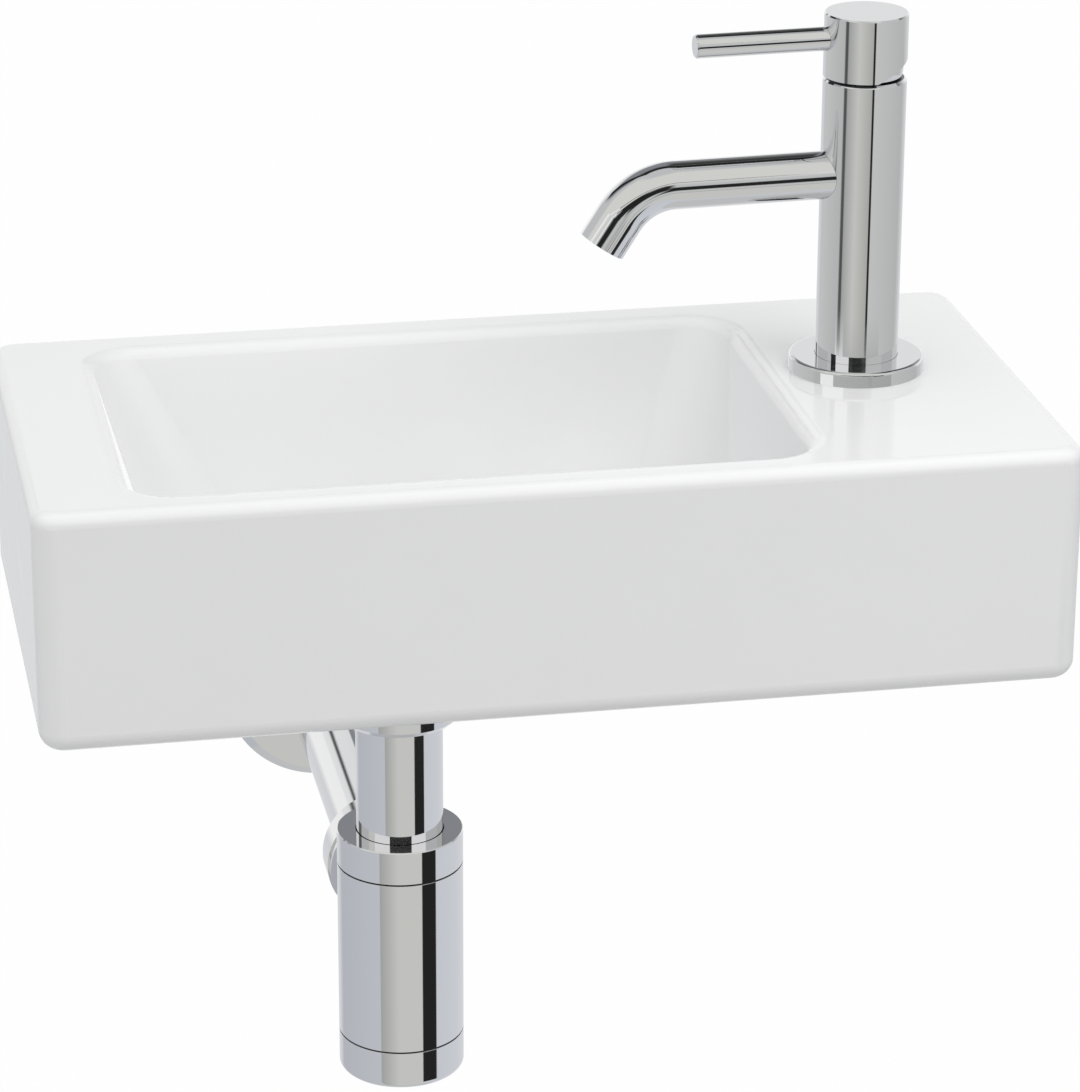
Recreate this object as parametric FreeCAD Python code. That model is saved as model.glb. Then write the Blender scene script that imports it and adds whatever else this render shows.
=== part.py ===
# Hand basin for a small washroom: a glazed ceramic body hung on the wall, a single lever mixer
# tap on its deck, a free-flowing waste and a chromed bottle trap with its wall tube.
# Lengths are in millimetres and angles in degrees. The origin lies midway between the two wall
# bolts, on the back face. X runs to the user's right, the front faces -Y and Z points up.

import FreeCAD
import Part
import math
import os

V = FreeCAD.Vector
X_AXIS = V(1, 0, 0)
Y_AXIS = V(0, 1, 0)
Z_AXIS = V(0, 0, 1)

# Clearances
FIT = 0.1                   # between pieces that are screwed or pushed together
PIN_GAP = 0.05              # round a hinge pin
RUNNING_GAP = 0.3           # round a piece that turns or slides
OVERCUT = 1.0               # how far a cutting shape passes the face it cuts

# Ceramic body
BASIN_WIDTH = 365.0
BASIN_DEPTH = 185.0
BASIN_HEIGHT = 87.0
UPRIGHT_EDGE = 9.0
TOP_EDGE = 5.0
FOOT_EDGE = 7.0
SHELL_WALL = 10.0
DECK_THICKNESS = 14.0
WALL_HOLE_RADIUS = 7.0
WALL_HOLE_SPACING = 200.0
WALL_HOLE_DROP = 45.0       # below the rim

# Bowl
LEFT_RIM = 34.0
FRONT_RIM = 15.0
BACK_RIM = 18.0
TAP_DECK = 92.0
FLOOR_RISE = 19.0           # bowl floor above the foot of the basin
LEFT_SLOPE = 20.0
RIGHT_SLOPE = 9.0
FRONT_SLOPE = 12.0
BACK_SLOPE = 28.0
BOWL_RIM_CORNER = 16.0
BOWL_FLOOR_CORNER = 34.0
FLOOR_FILLET = 24.0
RIM_ROUND = 6.0
WASTE_FROM_LEFT = 81.5      # from the left end of the bowl's floor

# Tap body and flange
TAP_FROM_SIDE = 57.3
TAP_FROM_BACK = 84.0
TAP_HOLE_RADIUS = 17.5
TAP_TURN = 3.2              # spout turned towards the waste
TAP_RADIUS = 15.0
BODY_HEIGHT = 109.0
BODY_CHAMFER = 1.0
FLANGE_RADIUS = 24.5
FLANGE_HEIGHT = 5.5
FLANGE_LIP = 2.0
FLANGE_MOUTH = 13.5
FLANGE_EDGE = 1.2
GASKET_INNER = 18.5
GASKET_OUTER = 22.0
GASKET_HEIGHT = 1.6

# Waterways in the tap body, placed from the tap's axis
INLET_RADIUS = 4.5
INLET_DEPTH = 14.0
INLET_X = -3.5
INLET_Y = 6.8
CHANNEL_RADIUS = 1.9
CHANNEL_X = -2.0
CHANNEL_Y = 5.0
PORT_RADIUS = 2.6
PORT_X = 4.5

# Fixing set under the deck
STUD_RADIUS = 4.0
STUD_X = 9.0
STUD_HOLD = 14.0
STUD_FREE_END = 12.0
CLAMP_RADIUS = 22.0
CLAMP_SLOT_HALF = 12.5
CLAMP_SLOT_END = 4.0
RUBBER_WASHER_THICKNESS = 2.0
CLAMP_THICKNESS = 3.0
FIXING_NUT_ACROSS = 13.0
FIXING_NUT_HEIGHT = 7.0

# Spout
SPOUT_RADIUS = 8.75
SPOUT_BORE = 7.2
SPOUT_BELOW_SEAT = 6.5      # spout axis below the seat of the cartridge
SPOUT_STRAIGHT = 70.0       # tap axis to the start of the bend
SPOUT_BEND = 23.5
SPOUT_TURN = 57.0
SPOUT_TIP = 11.75
SPIGOT_RADIUS = 5.4
SPIGOT_BORE = 4.1
SPIGOT_LENGTH = 5.0
AERATOR_RECESS = 1.0
AERATOR_LENGTH = 7.0
AERATOR_WALL = 1.4
AERATOR_PLATE = 2.5
JET_RADIUS = 0.55
JET_RINGS = 2
JETS_PER_RING = 6           # in the innermost ring; each ring further out has as many more
JET_SPACING = 1.9

# Mixing cartridge
BORE_RADIUS = 12.7
BORE_DEPTH = 29.0
BASE_THICKNESS = 5.0
CARTRIDGE_WALL = 1.6
FIXED_DISC_THICKNESS = 4.0
MOVING_DISC_THICKNESS = 3.4
DISC_FILM = 0.05
CHAMBER_X = 1.5
CHAMBER_LENGTH = 5.0
CHAMBER_HALF_WIDTH = 5.8
CHAMBER_DEPTH = 1.8
CARRIER_PLATE = 3.0
POST_HALF = 3.6
POST_ABOVE_BALL = 1.4
CARTRIDGE_LIP = 2.0
CARTRIDGE_NUT_HEIGHT = 3.0
NUT_NOTCHES = 4
NUT_NOTCH_WIDTH = 2.4
NUT_NOTCH_DEPTH = 1.2
STALK_RADIUS = 8.4
STALK_ABOVE_PIVOT = 4.0

# Lever mechanism
PIVOT_RISE = 4.0            # pivot above the top of the tap body
LIFT_ANGLE = 20.0
STEM_HALF = 3.0
STEM_BELOW_PIVOT = 3.5
STEM_ABOVE_PIVOT = 16.0
ARM_RADIUS = 2.4
ARM_LENGTH = 11.0
BALL_RADIUS = 2.6
PIN_RADIUS = 1.5
DOME_RADIUS = 13.6
DOME_WALL = 1.2
DOME_RISE = 8.0             # dome above the top of the tap body
HEAD_GAP = 0.6
HEAD_HEIGHT = 22.9
HEAD_CLEARANCE = 0.3
HEAD_CHAMFER = 0.5
NOTCH_ANGLE = 25.0
CEILING_RISE = 6.8          # ceiling of the head above the pivot
CEILING_TILT = 10.0
LEVER_RADIUS = 4.3
LEVER_ABOVE_PIVOT = 10.5
LEVER_REACH = 63.0
LEVER_CHAMFER = 0.5
LEVER_THREAD = 2.5
LEVER_THREAD_INNER = 4.5
GRUB_RADIUS = 2.4
GRUB_LENGTH = 7.0
GRUB_ABOVE_PIVOT = 13.4
GRUB_KEY_ACROSS = 2.5
GRUB_KEY_DEPTH = 2.5

# Waste
WASTE_HOLE_SLACK = 1.6      # hole in the ceramic round the tail
WASTE_RECESS_DEPTH = 2.0
WASTE_FLANGE_OVERLAP = 9.5  # flange past the edge of the hole
WASTE_FLANGE_THICKNESS = 3.0
WASTE_FLANGE_EDGE = 1.2
UPPER_SEAL_THICKNESS = 1.0
LOWER_SEAL_THICKNESS = 3.0
LOWER_SEAL_WIDTH = 9.0
BACK_NUT_HEIGHT = 7.0
BACK_NUT_WALL = 6.1         # at the middle of a flat
TAIL_SLACK = 1.5            # bore of the tail round the tube
TAIL_WALL = 3.4
TAIL_LENGTH = 44.0          # bowl floor to the end of the threaded tail
BRIDGE_DROP = 14.0
BRIDGE_WIDTH = 3.0
BRIDGE_HEIGHT = 4.0
BRIDGE_BOSS = 5.0
COVER_INSET = 3.0           # cover inside the edge of the flange
COVER_THICKNESS = 3.0
COVER_LIFT = 6.0            # flow gap under the cover
COVER_EDGE = 1.2
COVER_POST = 4.0
COVER_THREAD = 2.5

# Trap
TUBE_RADIUS = 16.0
TUBE_WALL = 1.0
TUBE_INSERT = 8.0
TUBE_SHOWN = 44.8           # union nut to collar nut
UNION_WALL = 1.9
UNION_THREAD_LENGTH = 14.0
UNION_SEAL_THICKNESS = 3.0
UNION_LIP = 2.0
UNION_CHAMFER = 2.0
TRAP_WALL = 2.2
SEAM_CHAMFER = 0.4          # both edges of each seam between collar, bottle and cup
TRAP_BODY_HEIGHT = 68.3
TRAP_SHOULDER = 3.0
COLLAR_HEIGHT = 13.0
COLLAR_WALL = 2.85
COLLAR_SEAL_THICKNESS = 3.0
COLLAR_LIP = 3.0
NECK_SLACK = 1.0
NECK_WALL = 3.4
CUP_HEIGHT = 15.1
CUP_FLOOR = 3.0
CUP_EDGE = 2.5
CUP_THREAD_LENGTH = 10.0
CUP_THREAD_WALL = 2.0
CUP_SEAL_INSET = 0.25       # seal outside the wall of the chamber
CUP_SEAL_WIDTH = 1.2
CUP_SEAL_HEIGHT = 1.2
DIP_CLEARANCE = 17.0        # tube end above the cup's floor

# Outlet to the wall
OUTLET_DROP = 14.5          # outlet axis below the collar seam
BRANCH_MARGIN = 0.5
BRANCH_WALL = 2.0
BRANCH_GAP = 0.75
SHOULDER_INSET = 0.6        # shoulder inside the edge of the nut
SHOULDER_LENGTH = 4.0
SOCKET_STOP = 2.0
OUTLET_THREAD_WALL = 3.5
OUTLET_THREAD_LENGTH = 9.0
OUTLET_SEAL_THICKNESS = 2.5
OUTLET_NUT_WALL = 3.4
OUTLET_NUT_LIP = 2.5
OUTLET_NUT_CHAMFER = 1.0
PIPE_BEHIND_WALL = 135.0
ROSETTE_BEHIND_WALL = 102.0
ROSETTE_WIDTH = 24.0
ROSETTE_DEPTH = 7.5
ROSETTE_SHEET = 1.2
ROSETTE_BEVEL = 4.0

# Levels and axes worked out from the sizes above
SIDE = BASIN_WIDTH / 2
RIM = WALL_HOLE_DROP
FOOT = RIM - BASIN_HEIGHT
FLOOR = FOOT + FLOOR_RISE
TAP_X = SIDE - TAP_FROM_SIDE
TAP_Y = -TAP_FROM_BACK
DECK_UNDER = RIM - DECK_THICKNESS
CLAMP_TOP = DECK_UNDER - RUBBER_WASHER_THICKNESS
CLAMP_FOOT = CLAMP_TOP - CLAMP_THICKNESS
FIXING_NUT_FOOT = CLAMP_FOOT - FIXING_NUT_HEIGHT
BODY_FOOT = RIM + FLANGE_LIP
BODY_TOP = RIM + BODY_HEIGHT
SEAT = BODY_TOP - BORE_DEPTH
SPOUT_Z = SEAT - SPOUT_BELOW_SEAT
PIVOT = BODY_TOP + PIVOT_RISE
LIFT = math.radians(LIFT_ANGLE)
DISC_TRAVEL = ARM_LENGTH * LIFT
CARTRIDGE_RADIUS = BORE_RADIUS - FIT
CARTRIDGE_BORE = CARTRIDGE_RADIUS - CARTRIDGE_WALL
BASE_TOP = SEAT + BASE_THICKNESS
FIXED_DISC_TOP = BASE_TOP + FIXED_DISC_THICKNESS
MOVING_DISC_FOOT = FIXED_DISC_TOP + DISC_FILM
MOVING_DISC_TOP = MOVING_DISC_FOOT + MOVING_DISC_THICKNESS
MOVING_DISC_RADIUS = CARTRIDGE_BORE - DISC_TRAVEL / 2 - RUNNING_GAP
MOVING_DISC_X = DISC_TRAVEL / 2
PLATE_TOP = MOVING_DISC_TOP + CARRIER_PLATE
CARTRIDGE_TOP = BODY_TOP - CARTRIDGE_NUT_HEIGHT
TURRET_FOOT = PLATE_TOP + RUNNING_GAP
TURRET_SHOULDER = CARTRIDGE_TOP - CARTRIDGE_LIP - RUNNING_GAP
BALL = PIVOT - ARM_LENGTH
HEAD_FOOT = BODY_TOP + HEAD_GAP
HEAD_TOP = HEAD_FOOT + HEAD_HEIGHT
LEVER_Z = PIVOT + LEVER_ABOVE_PIVOT
GRUB_Z = PIVOT + GRUB_ABOVE_PIVOT
BOWL_RIM_BOX = (-SIDE + LEFT_RIM, SIDE - TAP_DECK, -BASIN_DEPTH + FRONT_RIM, -BACK_RIM)
BOWL_FLOOR_BOX = (BOWL_RIM_BOX[0] + LEFT_SLOPE, BOWL_RIM_BOX[1] - RIGHT_SLOPE,
                  BOWL_RIM_BOX[2] + FRONT_SLOPE, BOWL_RIM_BOX[3] - BACK_SLOPE)
WASTE_X = BOWL_FLOOR_BOX[0] + WASTE_FROM_LEFT
WASTE_Y = (BOWL_FLOOR_BOX[2] + BOWL_FLOOR_BOX[3]) / 2
TAIL_BORE = TUBE_RADIUS + TAIL_SLACK
TAIL_RADIUS = TAIL_BORE + TAIL_WALL
WASTE_HOLE_RADIUS = TAIL_RADIUS + WASTE_HOLE_SLACK
WASTE_FLANGE_RADIUS = WASTE_HOLE_RADIUS + WASTE_FLANGE_OVERLAP
COVER_RADIUS = WASTE_FLANGE_RADIUS - COVER_INSET
BACK_NUT_ACROSS = 2 * (TAIL_RADIUS + BACK_NUT_WALL)
UNION_RADIUS = TAIL_RADIUS + UNION_WALL
RECESS = FLOOR - WASTE_RECESS_DEPTH
WASTE_SEAT = RECESS + UPPER_SEAL_THICKNESS
WASTE_TOP = WASTE_SEAT + WASTE_FLANGE_THICKNESS
BRIDGE_TOP = FLOOR - BRIDGE_DROP
UNDERSIDE = FLOOR - SHELL_WALL
BACK_NUT_TOP = UNDERSIDE - LOWER_SEAL_THICKNESS
TAIL_END = FLOOR - TAIL_LENGTH
UNION_LIP_TOP = TAIL_END - UNION_SEAL_THICKNESS
UNION_FOOT = UNION_LIP_TOP - UNION_LIP
COLLAR_TOP = UNION_FOOT - TUBE_SHOWN
COLLAR_SEAM = COLLAR_TOP - COLLAR_HEIGHT
NECK_TOP = COLLAR_TOP - COLLAR_LIP - COLLAR_SEAL_THICKNESS
CUP_SEAM = COLLAR_SEAM - TRAP_BODY_HEIGHT
CUP_FOOT = CUP_SEAM - CUP_HEIGHT
TUBE_BORE = TUBE_RADIUS - TUBE_WALL
NECK_BORE = TUBE_RADIUS + NECK_SLACK
NECK_RADIUS = NECK_BORE + NECK_WALL
TRAP_RADIUS = NECK_RADIUS + COLLAR_WALL
SEAM_RADIUS = TRAP_RADIUS - SEAM_CHAMFER
TUBE_END = CUP_FOOT + CUP_FLOOR + DIP_CLEARANCE
CHAMBER_RADIUS = TRAP_RADIUS - TRAP_WALL
CUP_THREAD_RADIUS = CHAMBER_RADIUS - RUNNING_GAP
CUP_SEAL_INNER = CHAMBER_RADIUS + CUP_SEAL_INSET
OUTLET_Z = COLLAR_SEAM - OUTLET_DROP
BRANCH_RADIUS = OUTLET_DROP - BRANCH_MARGIN
SOCKET_RADIUS = TUBE_RADIUS + FIT
OUTLET_THREAD_RADIUS = SOCKET_RADIUS + OUTLET_THREAD_WALL
OUTLET_NUT_RADIUS = OUTLET_THREAD_RADIUS + OUTLET_NUT_WALL
SHOULDER_RADIUS = OUTLET_NUT_RADIUS - SHOULDER_INSET
ROSETTE_RADIUS = TUBE_RADIUS + ROSETTE_WIDTH
SHOULDER_Y = WASTE_Y + TRAP_RADIUS + BRANCH_GAP
THREAD_Y = SHOULDER_Y + SHOULDER_LENGTH
THREAD_END_Y = THREAD_Y + OUTLET_THREAD_LENGTH
OUTLET_LIP_Y = THREAD_END_Y + OUTLET_SEAL_THICKNESS
OUTLET_NUT_END_Y = OUTLET_LIP_Y + OUTLET_NUT_LIP
PIPE_START_Y = SHOULDER_Y + SOCKET_STOP


def rounded_rectangle(box, radius, z):
    """Closed wire of four lines and four arcs at height z; box is x low, x high, y low, y high."""
    x0, x1, y0, y1 = box
    centres = ((x1 - radius, y1 - radius), (x0 + radius, y1 - radius),
               (x0 + radius, y0 + radius), (x1 - radius, y0 + radius))
    arcs = []
    for quarter, (x, y) in enumerate(centres):
        circle = Part.Circle(V(x, y, z), Z_AXIS, radius)
        start = quarter * math.pi / 2
        arcs.append(Part.Arc(circle, start, start + math.pi / 2).toShape())
    edges = []
    for arc, after in zip(arcs, arcs[1:] + arcs[:1]):
        edges.append(arc)
        edges.append(Part.makeLine(arc.Vertexes[-1].Point, after.Vertexes[0].Point))
    return Part.Wire(edges)


def grown(box, by):
    """The rectangle with every side moved outwards."""
    return (box[0] - by, box[1] + by, box[2] - by, box[3] + by)


def edges_at(shape, z, box=None):
    """Edges that lie wholly at height z, and within a rectangle where one is given."""
    tolerance = 0.01
    found = []
    for edge in shape.Edges:
        bound = edge.BoundBox
        level = abs(bound.ZMin - z) < tolerance and abs(bound.ZMax - z) < tolerance
        inside = box is None or (bound.XMin > box[0] and bound.XMax < box[1]
                                 and bound.YMin > box[2] and bound.YMax < box[3])
        if level and inside:
            found.append(edge)
    return found


def upright(shape):
    """The solid with its faces pointing outwards."""
    if shape.Volume < 0:
        shape.reverse()
    return shape


def turned(profile, x, y):
    """Solid turned about the upright line at x, y from a list of (radius, height)."""
    points = [V(x + radius, y, z) for radius, z in profile]
    face = Part.Face(Part.makePolygon(points + points[:1]))
    return upright(face.revolve(V(x, y, 0), Z_AXIS, 360))


def turned_back(profile):
    """Solid turned about the outlet's axis from a list of (radius, y)."""
    points = [V(WASTE_X + radius, y, OUTLET_Z) for radius, y in profile]
    face = Part.Face(Part.makePolygon(points + points[:1]))
    return upright(face.revolve(V(WASTE_X, 0, OUTLET_Z), Y_AXIS, 360))


def ring(outer, inner, low, high, x, y):
    """Upright ring with square edges."""
    return turned([(inner, low), (outer, low), (outer, high), (inner, high)], x, y)


def post(radius, low, high, x, y):
    """Upright round bar."""
    return Part.makeCylinder(radius, high - low, V(x, y, low), Z_AXIS)


def block(x0, x1, y0, y1, z0, z1):
    """Square-edged box between two corners."""
    return Part.makeBox(x1 - x0, y1 - y0, z1 - z0, V(x0, y0, z0))


def prism(outline, y0, y1):
    """Solid drawn along Y from a list of (x, z)."""
    points = [V(x, y0, z) for x, z in outline]
    face = Part.Face(Part.makePolygon(points + points[:1]))
    return upright(face.extrude(V(0, y1 - y0, 0)))


def hexagon(across, low, high, x, y):
    """Upright hexagonal bar, measured across its flats."""
    corner = across / math.sqrt(3)
    points = [V(x + corner * math.cos(turn * math.pi / 3), y + corner * math.sin(turn * math.pi / 3), low)
              for turn in range(6)]
    return Part.Face(Part.makePolygon(points + points[:1])).extrude(V(0, 0, high - low))


def bowl_form(grow, fillet):
    """Inside of the bowl, or with grow the outside of its shell."""
    low = FLOOR - grow
    rim = rounded_rectangle(grown(BOWL_RIM_BOX, grow), BOWL_RIM_CORNER + grow, RIM)
    floor = rounded_rectangle(grown(BOWL_FLOOR_BOX, grow), BOWL_FLOOR_CORNER + grow, low)
    form = Part.makeLoft([floor, rim], True, True)
    return form.makeFillet(fillet, edges_at(form, low))


def basin():
    """Ceramic body: rounded outside, sloping bowl, hollow underside, tap, waste and wall holes."""
    outside = (-SIDE, SIDE, -BASIN_DEPTH, 0)
    body = Part.Face(rounded_rectangle(outside, UPRIGHT_EDGE, FOOT)).extrude(V(0, 0, BASIN_HEIGHT))
    body = body.makeFillet(TOP_EDGE, edges_at(body, RIM))
    body = body.makeFillet(FOOT_EDGE, edges_at(body, FOOT))
    body = body.cut(bowl_form(0, FLOOR_FILLET))
    body = body.makeFillet(RIM_ROUND, edges_at(body, RIM, grown(BOWL_RIM_BOX, OVERCUT)))
    inside = rounded_rectangle(grown(outside, -SHELL_WALL), UPRIGHT_EDGE, FOOT)
    hollow = Part.Face(inside).extrude(V(0, 0, BASIN_HEIGHT - DECK_THICKNESS))
    body = body.cut(hollow.cut(bowl_form(SHELL_WALL, FLOOR_FILLET + SHELL_WALL)))
    body = body.cut(post(TAP_HOLE_RADIUS, RIM - DECK_THICKNESS - OVERCUT, RIM + OVERCUT, TAP_X, TAP_Y))
    body = body.cut(post(WASTE_HOLE_RADIUS, UNDERSIDE - OVERCUT, FLOOR + OVERCUT, WASTE_X, WASTE_Y))
    body = body.cut(post(WASTE_FLANGE_RADIUS + OVERCUT, RECESS, FLOOR + OVERCUT, WASTE_X, WASTE_Y))
    for side in (-1, 1):
        mouth = V(side * WALL_HOLE_SPACING / 2, -SHELL_WALL - OVERCUT, 0)
        body = body.cut(Part.makeCylinder(WALL_HOLE_RADIUS, SHELL_WALL + 2 * OVERCUT, mouth, Y_AXIS))
    return body


def base_flange():
    """Cover flange with an inner lip that carries the tap body and a groove for its gasket."""
    top = RIM + FLANGE_HEIGHT
    seat = TAP_RADIUS + FIT
    form = turned([(FLANGE_MOUTH, RIM), (FLANGE_RADIUS, RIM), (FLANGE_RADIUS, top), (seat, top),
                   (seat, BODY_FOOT), (FLANGE_MOUTH, BODY_FOOT)], TAP_X, TAP_Y)
    rim_edges = [edge for edge in edges_at(form, top) if edge.BoundBox.XMax > TAP_X + seat + FIT]
    form = form.makeFillet(FLANGE_EDGE, rim_edges)
    groove = ring(GASKET_OUTER + FIT, GASKET_INNER - FIT, RIM - OVERCUT, RIM + GASKET_HEIGHT, TAP_X, TAP_Y)
    return form.cut(groove)


def base_gasket():
    """Rubber ring between the flange and the deck."""
    return ring(GASKET_OUTER, GASKET_INNER, RIM, RIM + GASKET_HEIGHT, TAP_X, TAP_Y)


def tap_body():
    """Upright body: cartridge bore, spout socket, two hose inlets, stud bore and waterways."""
    form = post(TAP_RADIUS, BODY_FOOT, BODY_TOP, TAP_X, TAP_Y)
    form = form.makeChamfer(BODY_CHAMFER, edges_at(form, BODY_TOP))
    form = form.cut(post(BORE_RADIUS, SEAT, BODY_TOP + OVERCUT, TAP_X, TAP_Y))
    for side in (-1, 1):
        form = form.cut(post(INLET_RADIUS, BODY_FOOT - OVERCUT, BODY_FOOT + INLET_DEPTH,
                             TAP_X + INLET_X, TAP_Y + side * INLET_Y))
        form = form.cut(post(CHANNEL_RADIUS, BODY_FOOT + INLET_DEPTH - OVERCUT, SEAT + OVERCUT,
                             TAP_X + CHANNEL_X, TAP_Y + side * CHANNEL_Y))
    form = form.cut(post(STUD_RADIUS + FIT, BODY_FOOT - OVERCUT, BODY_FOOT + STUD_HOLD,
                         TAP_X + STUD_X, TAP_Y))
    form = form.cut(post(PORT_RADIUS, SPOUT_Z, SEAT + OVERCUT, TAP_X + PORT_X, TAP_Y))
    waterway = Part.makeCylinder(PORT_RADIUS, TAP_RADIUS + PORT_X, V(TAP_X + PORT_X, TAP_Y, SPOUT_Z), -X_AXIS)
    socket_end = V(TAP_X - TAP_RADIUS + SPIGOT_LENGTH, TAP_Y, SPOUT_Z)
    socket = Part.makeCylinder(SPIGOT_RADIUS + FIT, SPIGOT_LENGTH + OVERCUT, socket_end, -X_AXIS)
    return form.cut(waterway).cut(socket)


def spout_path():
    """Centre line of the spout from inside the body to its mouth."""
    turn = math.radians(SPOUT_TURN)
    start = V(TAP_X - TAP_RADIUS + SPIGOT_LENGTH, TAP_Y, SPOUT_Z)
    bend = V(TAP_X - SPOUT_STRAIGHT, TAP_Y, SPOUT_Z)
    centre = bend - Z_AXIS * SPOUT_BEND
    half = centre + (Z_AXIS * math.cos(turn / 2) - X_AXIS * math.sin(turn / 2)) * SPOUT_BEND
    tip = centre + (Z_AXIS * math.cos(turn) - X_AXIS * math.sin(turn)) * SPOUT_BEND
    mouth = tip + spout_direction() * SPOUT_TIP
    edges = [Part.makeLine(start, bend), Part.Arc(bend, half, tip).toShape(), Part.makeLine(tip, mouth)]
    return Part.Wire(edges), start, mouth


def spout_direction():
    """Direction in which the water leaves the spout."""
    turn = math.radians(SPOUT_TURN)
    return V(-math.cos(turn), 0, -math.sin(turn))


def spout_bar(radius):
    """Round bar along the spout's centre line."""
    path, start, _ = spout_path()
    outline = Part.Wire([Part.Circle(start, X_AXIS, radius).toShape()])
    return upright(path.makePipeShell([outline], True, False))


def spout():
    """Bent tube saddled on the body, with a spigot that enters the body's socket."""
    _, start, _ = spout_path()
    saddle = post(TAP_RADIUS + PIN_GAP, RIM, BODY_TOP, TAP_X, TAP_Y)
    tube = spout_bar(SPOUT_RADIUS).cut(saddle)
    spigot = Part.makeCylinder(SPIGOT_RADIUS, SPIGOT_LENGTH + SPOUT_RADIUS, start, -X_AXIS)
    inner = spout_bar(SPOUT_BORE).cut(post(TAP_RADIUS + SPIGOT_LENGTH, RIM, BODY_TOP, TAP_X, TAP_Y))
    entry = Part.makeCylinder(SPIGOT_BORE, SPIGOT_LENGTH + 2 * SPOUT_RADIUS, start, -X_AXIS)
    return tube.fuse(spigot).cut(inner).cut(entry).removeSplitter()


def at_mouth(form):
    """Moves a form made at the origin, with +Z pointing into the spout, to the spout's mouth."""
    _, _, mouth = spout_path()
    turn = FreeCAD.Rotation(Z_AXIS, -spout_direction())
    moved = form.copy()
    moved.Placement = FreeCAD.Placement(mouth, turn)
    return moved


def aerator_housing():
    """Threaded ring in the spout's mouth, with a step that carries the perforated plate."""
    outer = SPOUT_BORE - FIT
    inner = outer - AERATOR_WALL
    low = AERATOR_RECESS
    step = low + AERATOR_PLATE + FIT
    high = low + AERATOR_LENGTH
    return at_mouth(turned([(inner, low), (outer, low), (outer, high), (inner - AERATOR_WALL, high),
                            (inner - AERATOR_WALL, step), (inner, step)], 0, 0))


def aerator_insert():
    """Perforated plate that breaks the stream into jets."""
    radius = SPOUT_BORE - AERATOR_WALL - 2 * FIT
    low = AERATOR_RECESS + FIT
    high = AERATOR_RECESS + AERATOR_PLATE + FIT
    plate = post(radius, low, high, 0, 0)
    jets = [post(JET_RADIUS, low - OVERCUT, high + OVERCUT, 0, 0)]
    for circle in range(1, JET_RINGS + 1):
        count = circle * JETS_PER_RING
        reach = circle * JET_SPACING
        for jet in range(count):
            turn = 2 * math.pi * jet / count
            jets.append(post(JET_RADIUS, low - OVERCUT, high + OVERCUT,
                             reach * math.cos(turn), reach * math.sin(turn)))
    return at_mouth(plate.cut(Part.makeCompound(jets)))


def ported(form, low, high):
    """Cuts the two inlet ports and the mixed water port through a cartridge layer."""
    for side in (-1, 1):
        form = form.cut(post(CHANNEL_RADIUS, low - OVERCUT, high + OVERCUT,
                             TAP_X + CHANNEL_X, TAP_Y + side * CHANNEL_Y))
    return form.cut(post(PORT_RADIUS, low - OVERCUT, high + OVERCUT, TAP_X + PORT_X, TAP_Y))


def cartridge_base():
    """Plastic base that seals on the floor of the tap's bore."""
    return ported(post(CARTRIDGE_RADIUS, SEAT, BASE_TOP, TAP_X, TAP_Y), SEAT, BASE_TOP)


def cartridge_shell():
    """Plastic sleeve with an inner lip that keeps the turret down."""
    lip = CARTRIDGE_TOP - CARTRIDGE_LIP
    mouth = STALK_RADIUS + RUNNING_GAP
    return turned([(CARTRIDGE_BORE, BASE_TOP), (CARTRIDGE_RADIUS, BASE_TOP),
                   (CARTRIDGE_RADIUS, CARTRIDGE_TOP), (mouth, CARTRIDGE_TOP), (mouth, lip),
                   (CARTRIDGE_BORE, lip)], TAP_X, TAP_Y)


def fixed_disc():
    """Ceramic disc with the three ports."""
    disc = post(CARTRIDGE_BORE - FIT, BASE_TOP, FIXED_DISC_TOP, TAP_X, TAP_Y)
    return ported(disc, BASE_TOP, FIXED_DISC_TOP)


def moving_disc():
    """Ceramic disc whose blind chamber joins the ports as it slides."""
    disc = post(MOVING_DISC_RADIUS, MOVING_DISC_FOOT, MOVING_DISC_TOP, TAP_X + MOVING_DISC_X, TAP_Y)
    chamber = block(TAP_X + CHAMBER_X, TAP_X + CHAMBER_X + CHAMBER_LENGTH, TAP_Y - CHAMBER_HALF_WIDTH,
                    TAP_Y + CHAMBER_HALF_WIDTH, MOVING_DISC_FOOT - OVERCUT, MOVING_DISC_FOOT + CHAMBER_DEPTH)
    return disc.cut(chamber)


def disc_carrier():
    """Plastic plate on the moving disc, with a socketed post for the stem's ball."""
    plate = post(MOVING_DISC_RADIUS, MOVING_DISC_TOP, PLATE_TOP, TAP_X + MOVING_DISC_X, TAP_Y)
    top = BALL + POST_ABOVE_BALL
    upright_post = block(TAP_X - POST_HALF, TAP_X + POST_HALF, TAP_Y - POST_HALF, TAP_Y + POST_HALF,
                         PLATE_TOP, top)
    pocket_floor = BALL - BALL_RADIUS - 2 * RUNNING_GAP
    pocket = post(BALL_RADIUS + RUNNING_GAP, pocket_floor, top + OVERCUT, TAP_X, TAP_Y)
    return plate.fuse(upright_post).cut(pocket).removeSplitter()


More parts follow.
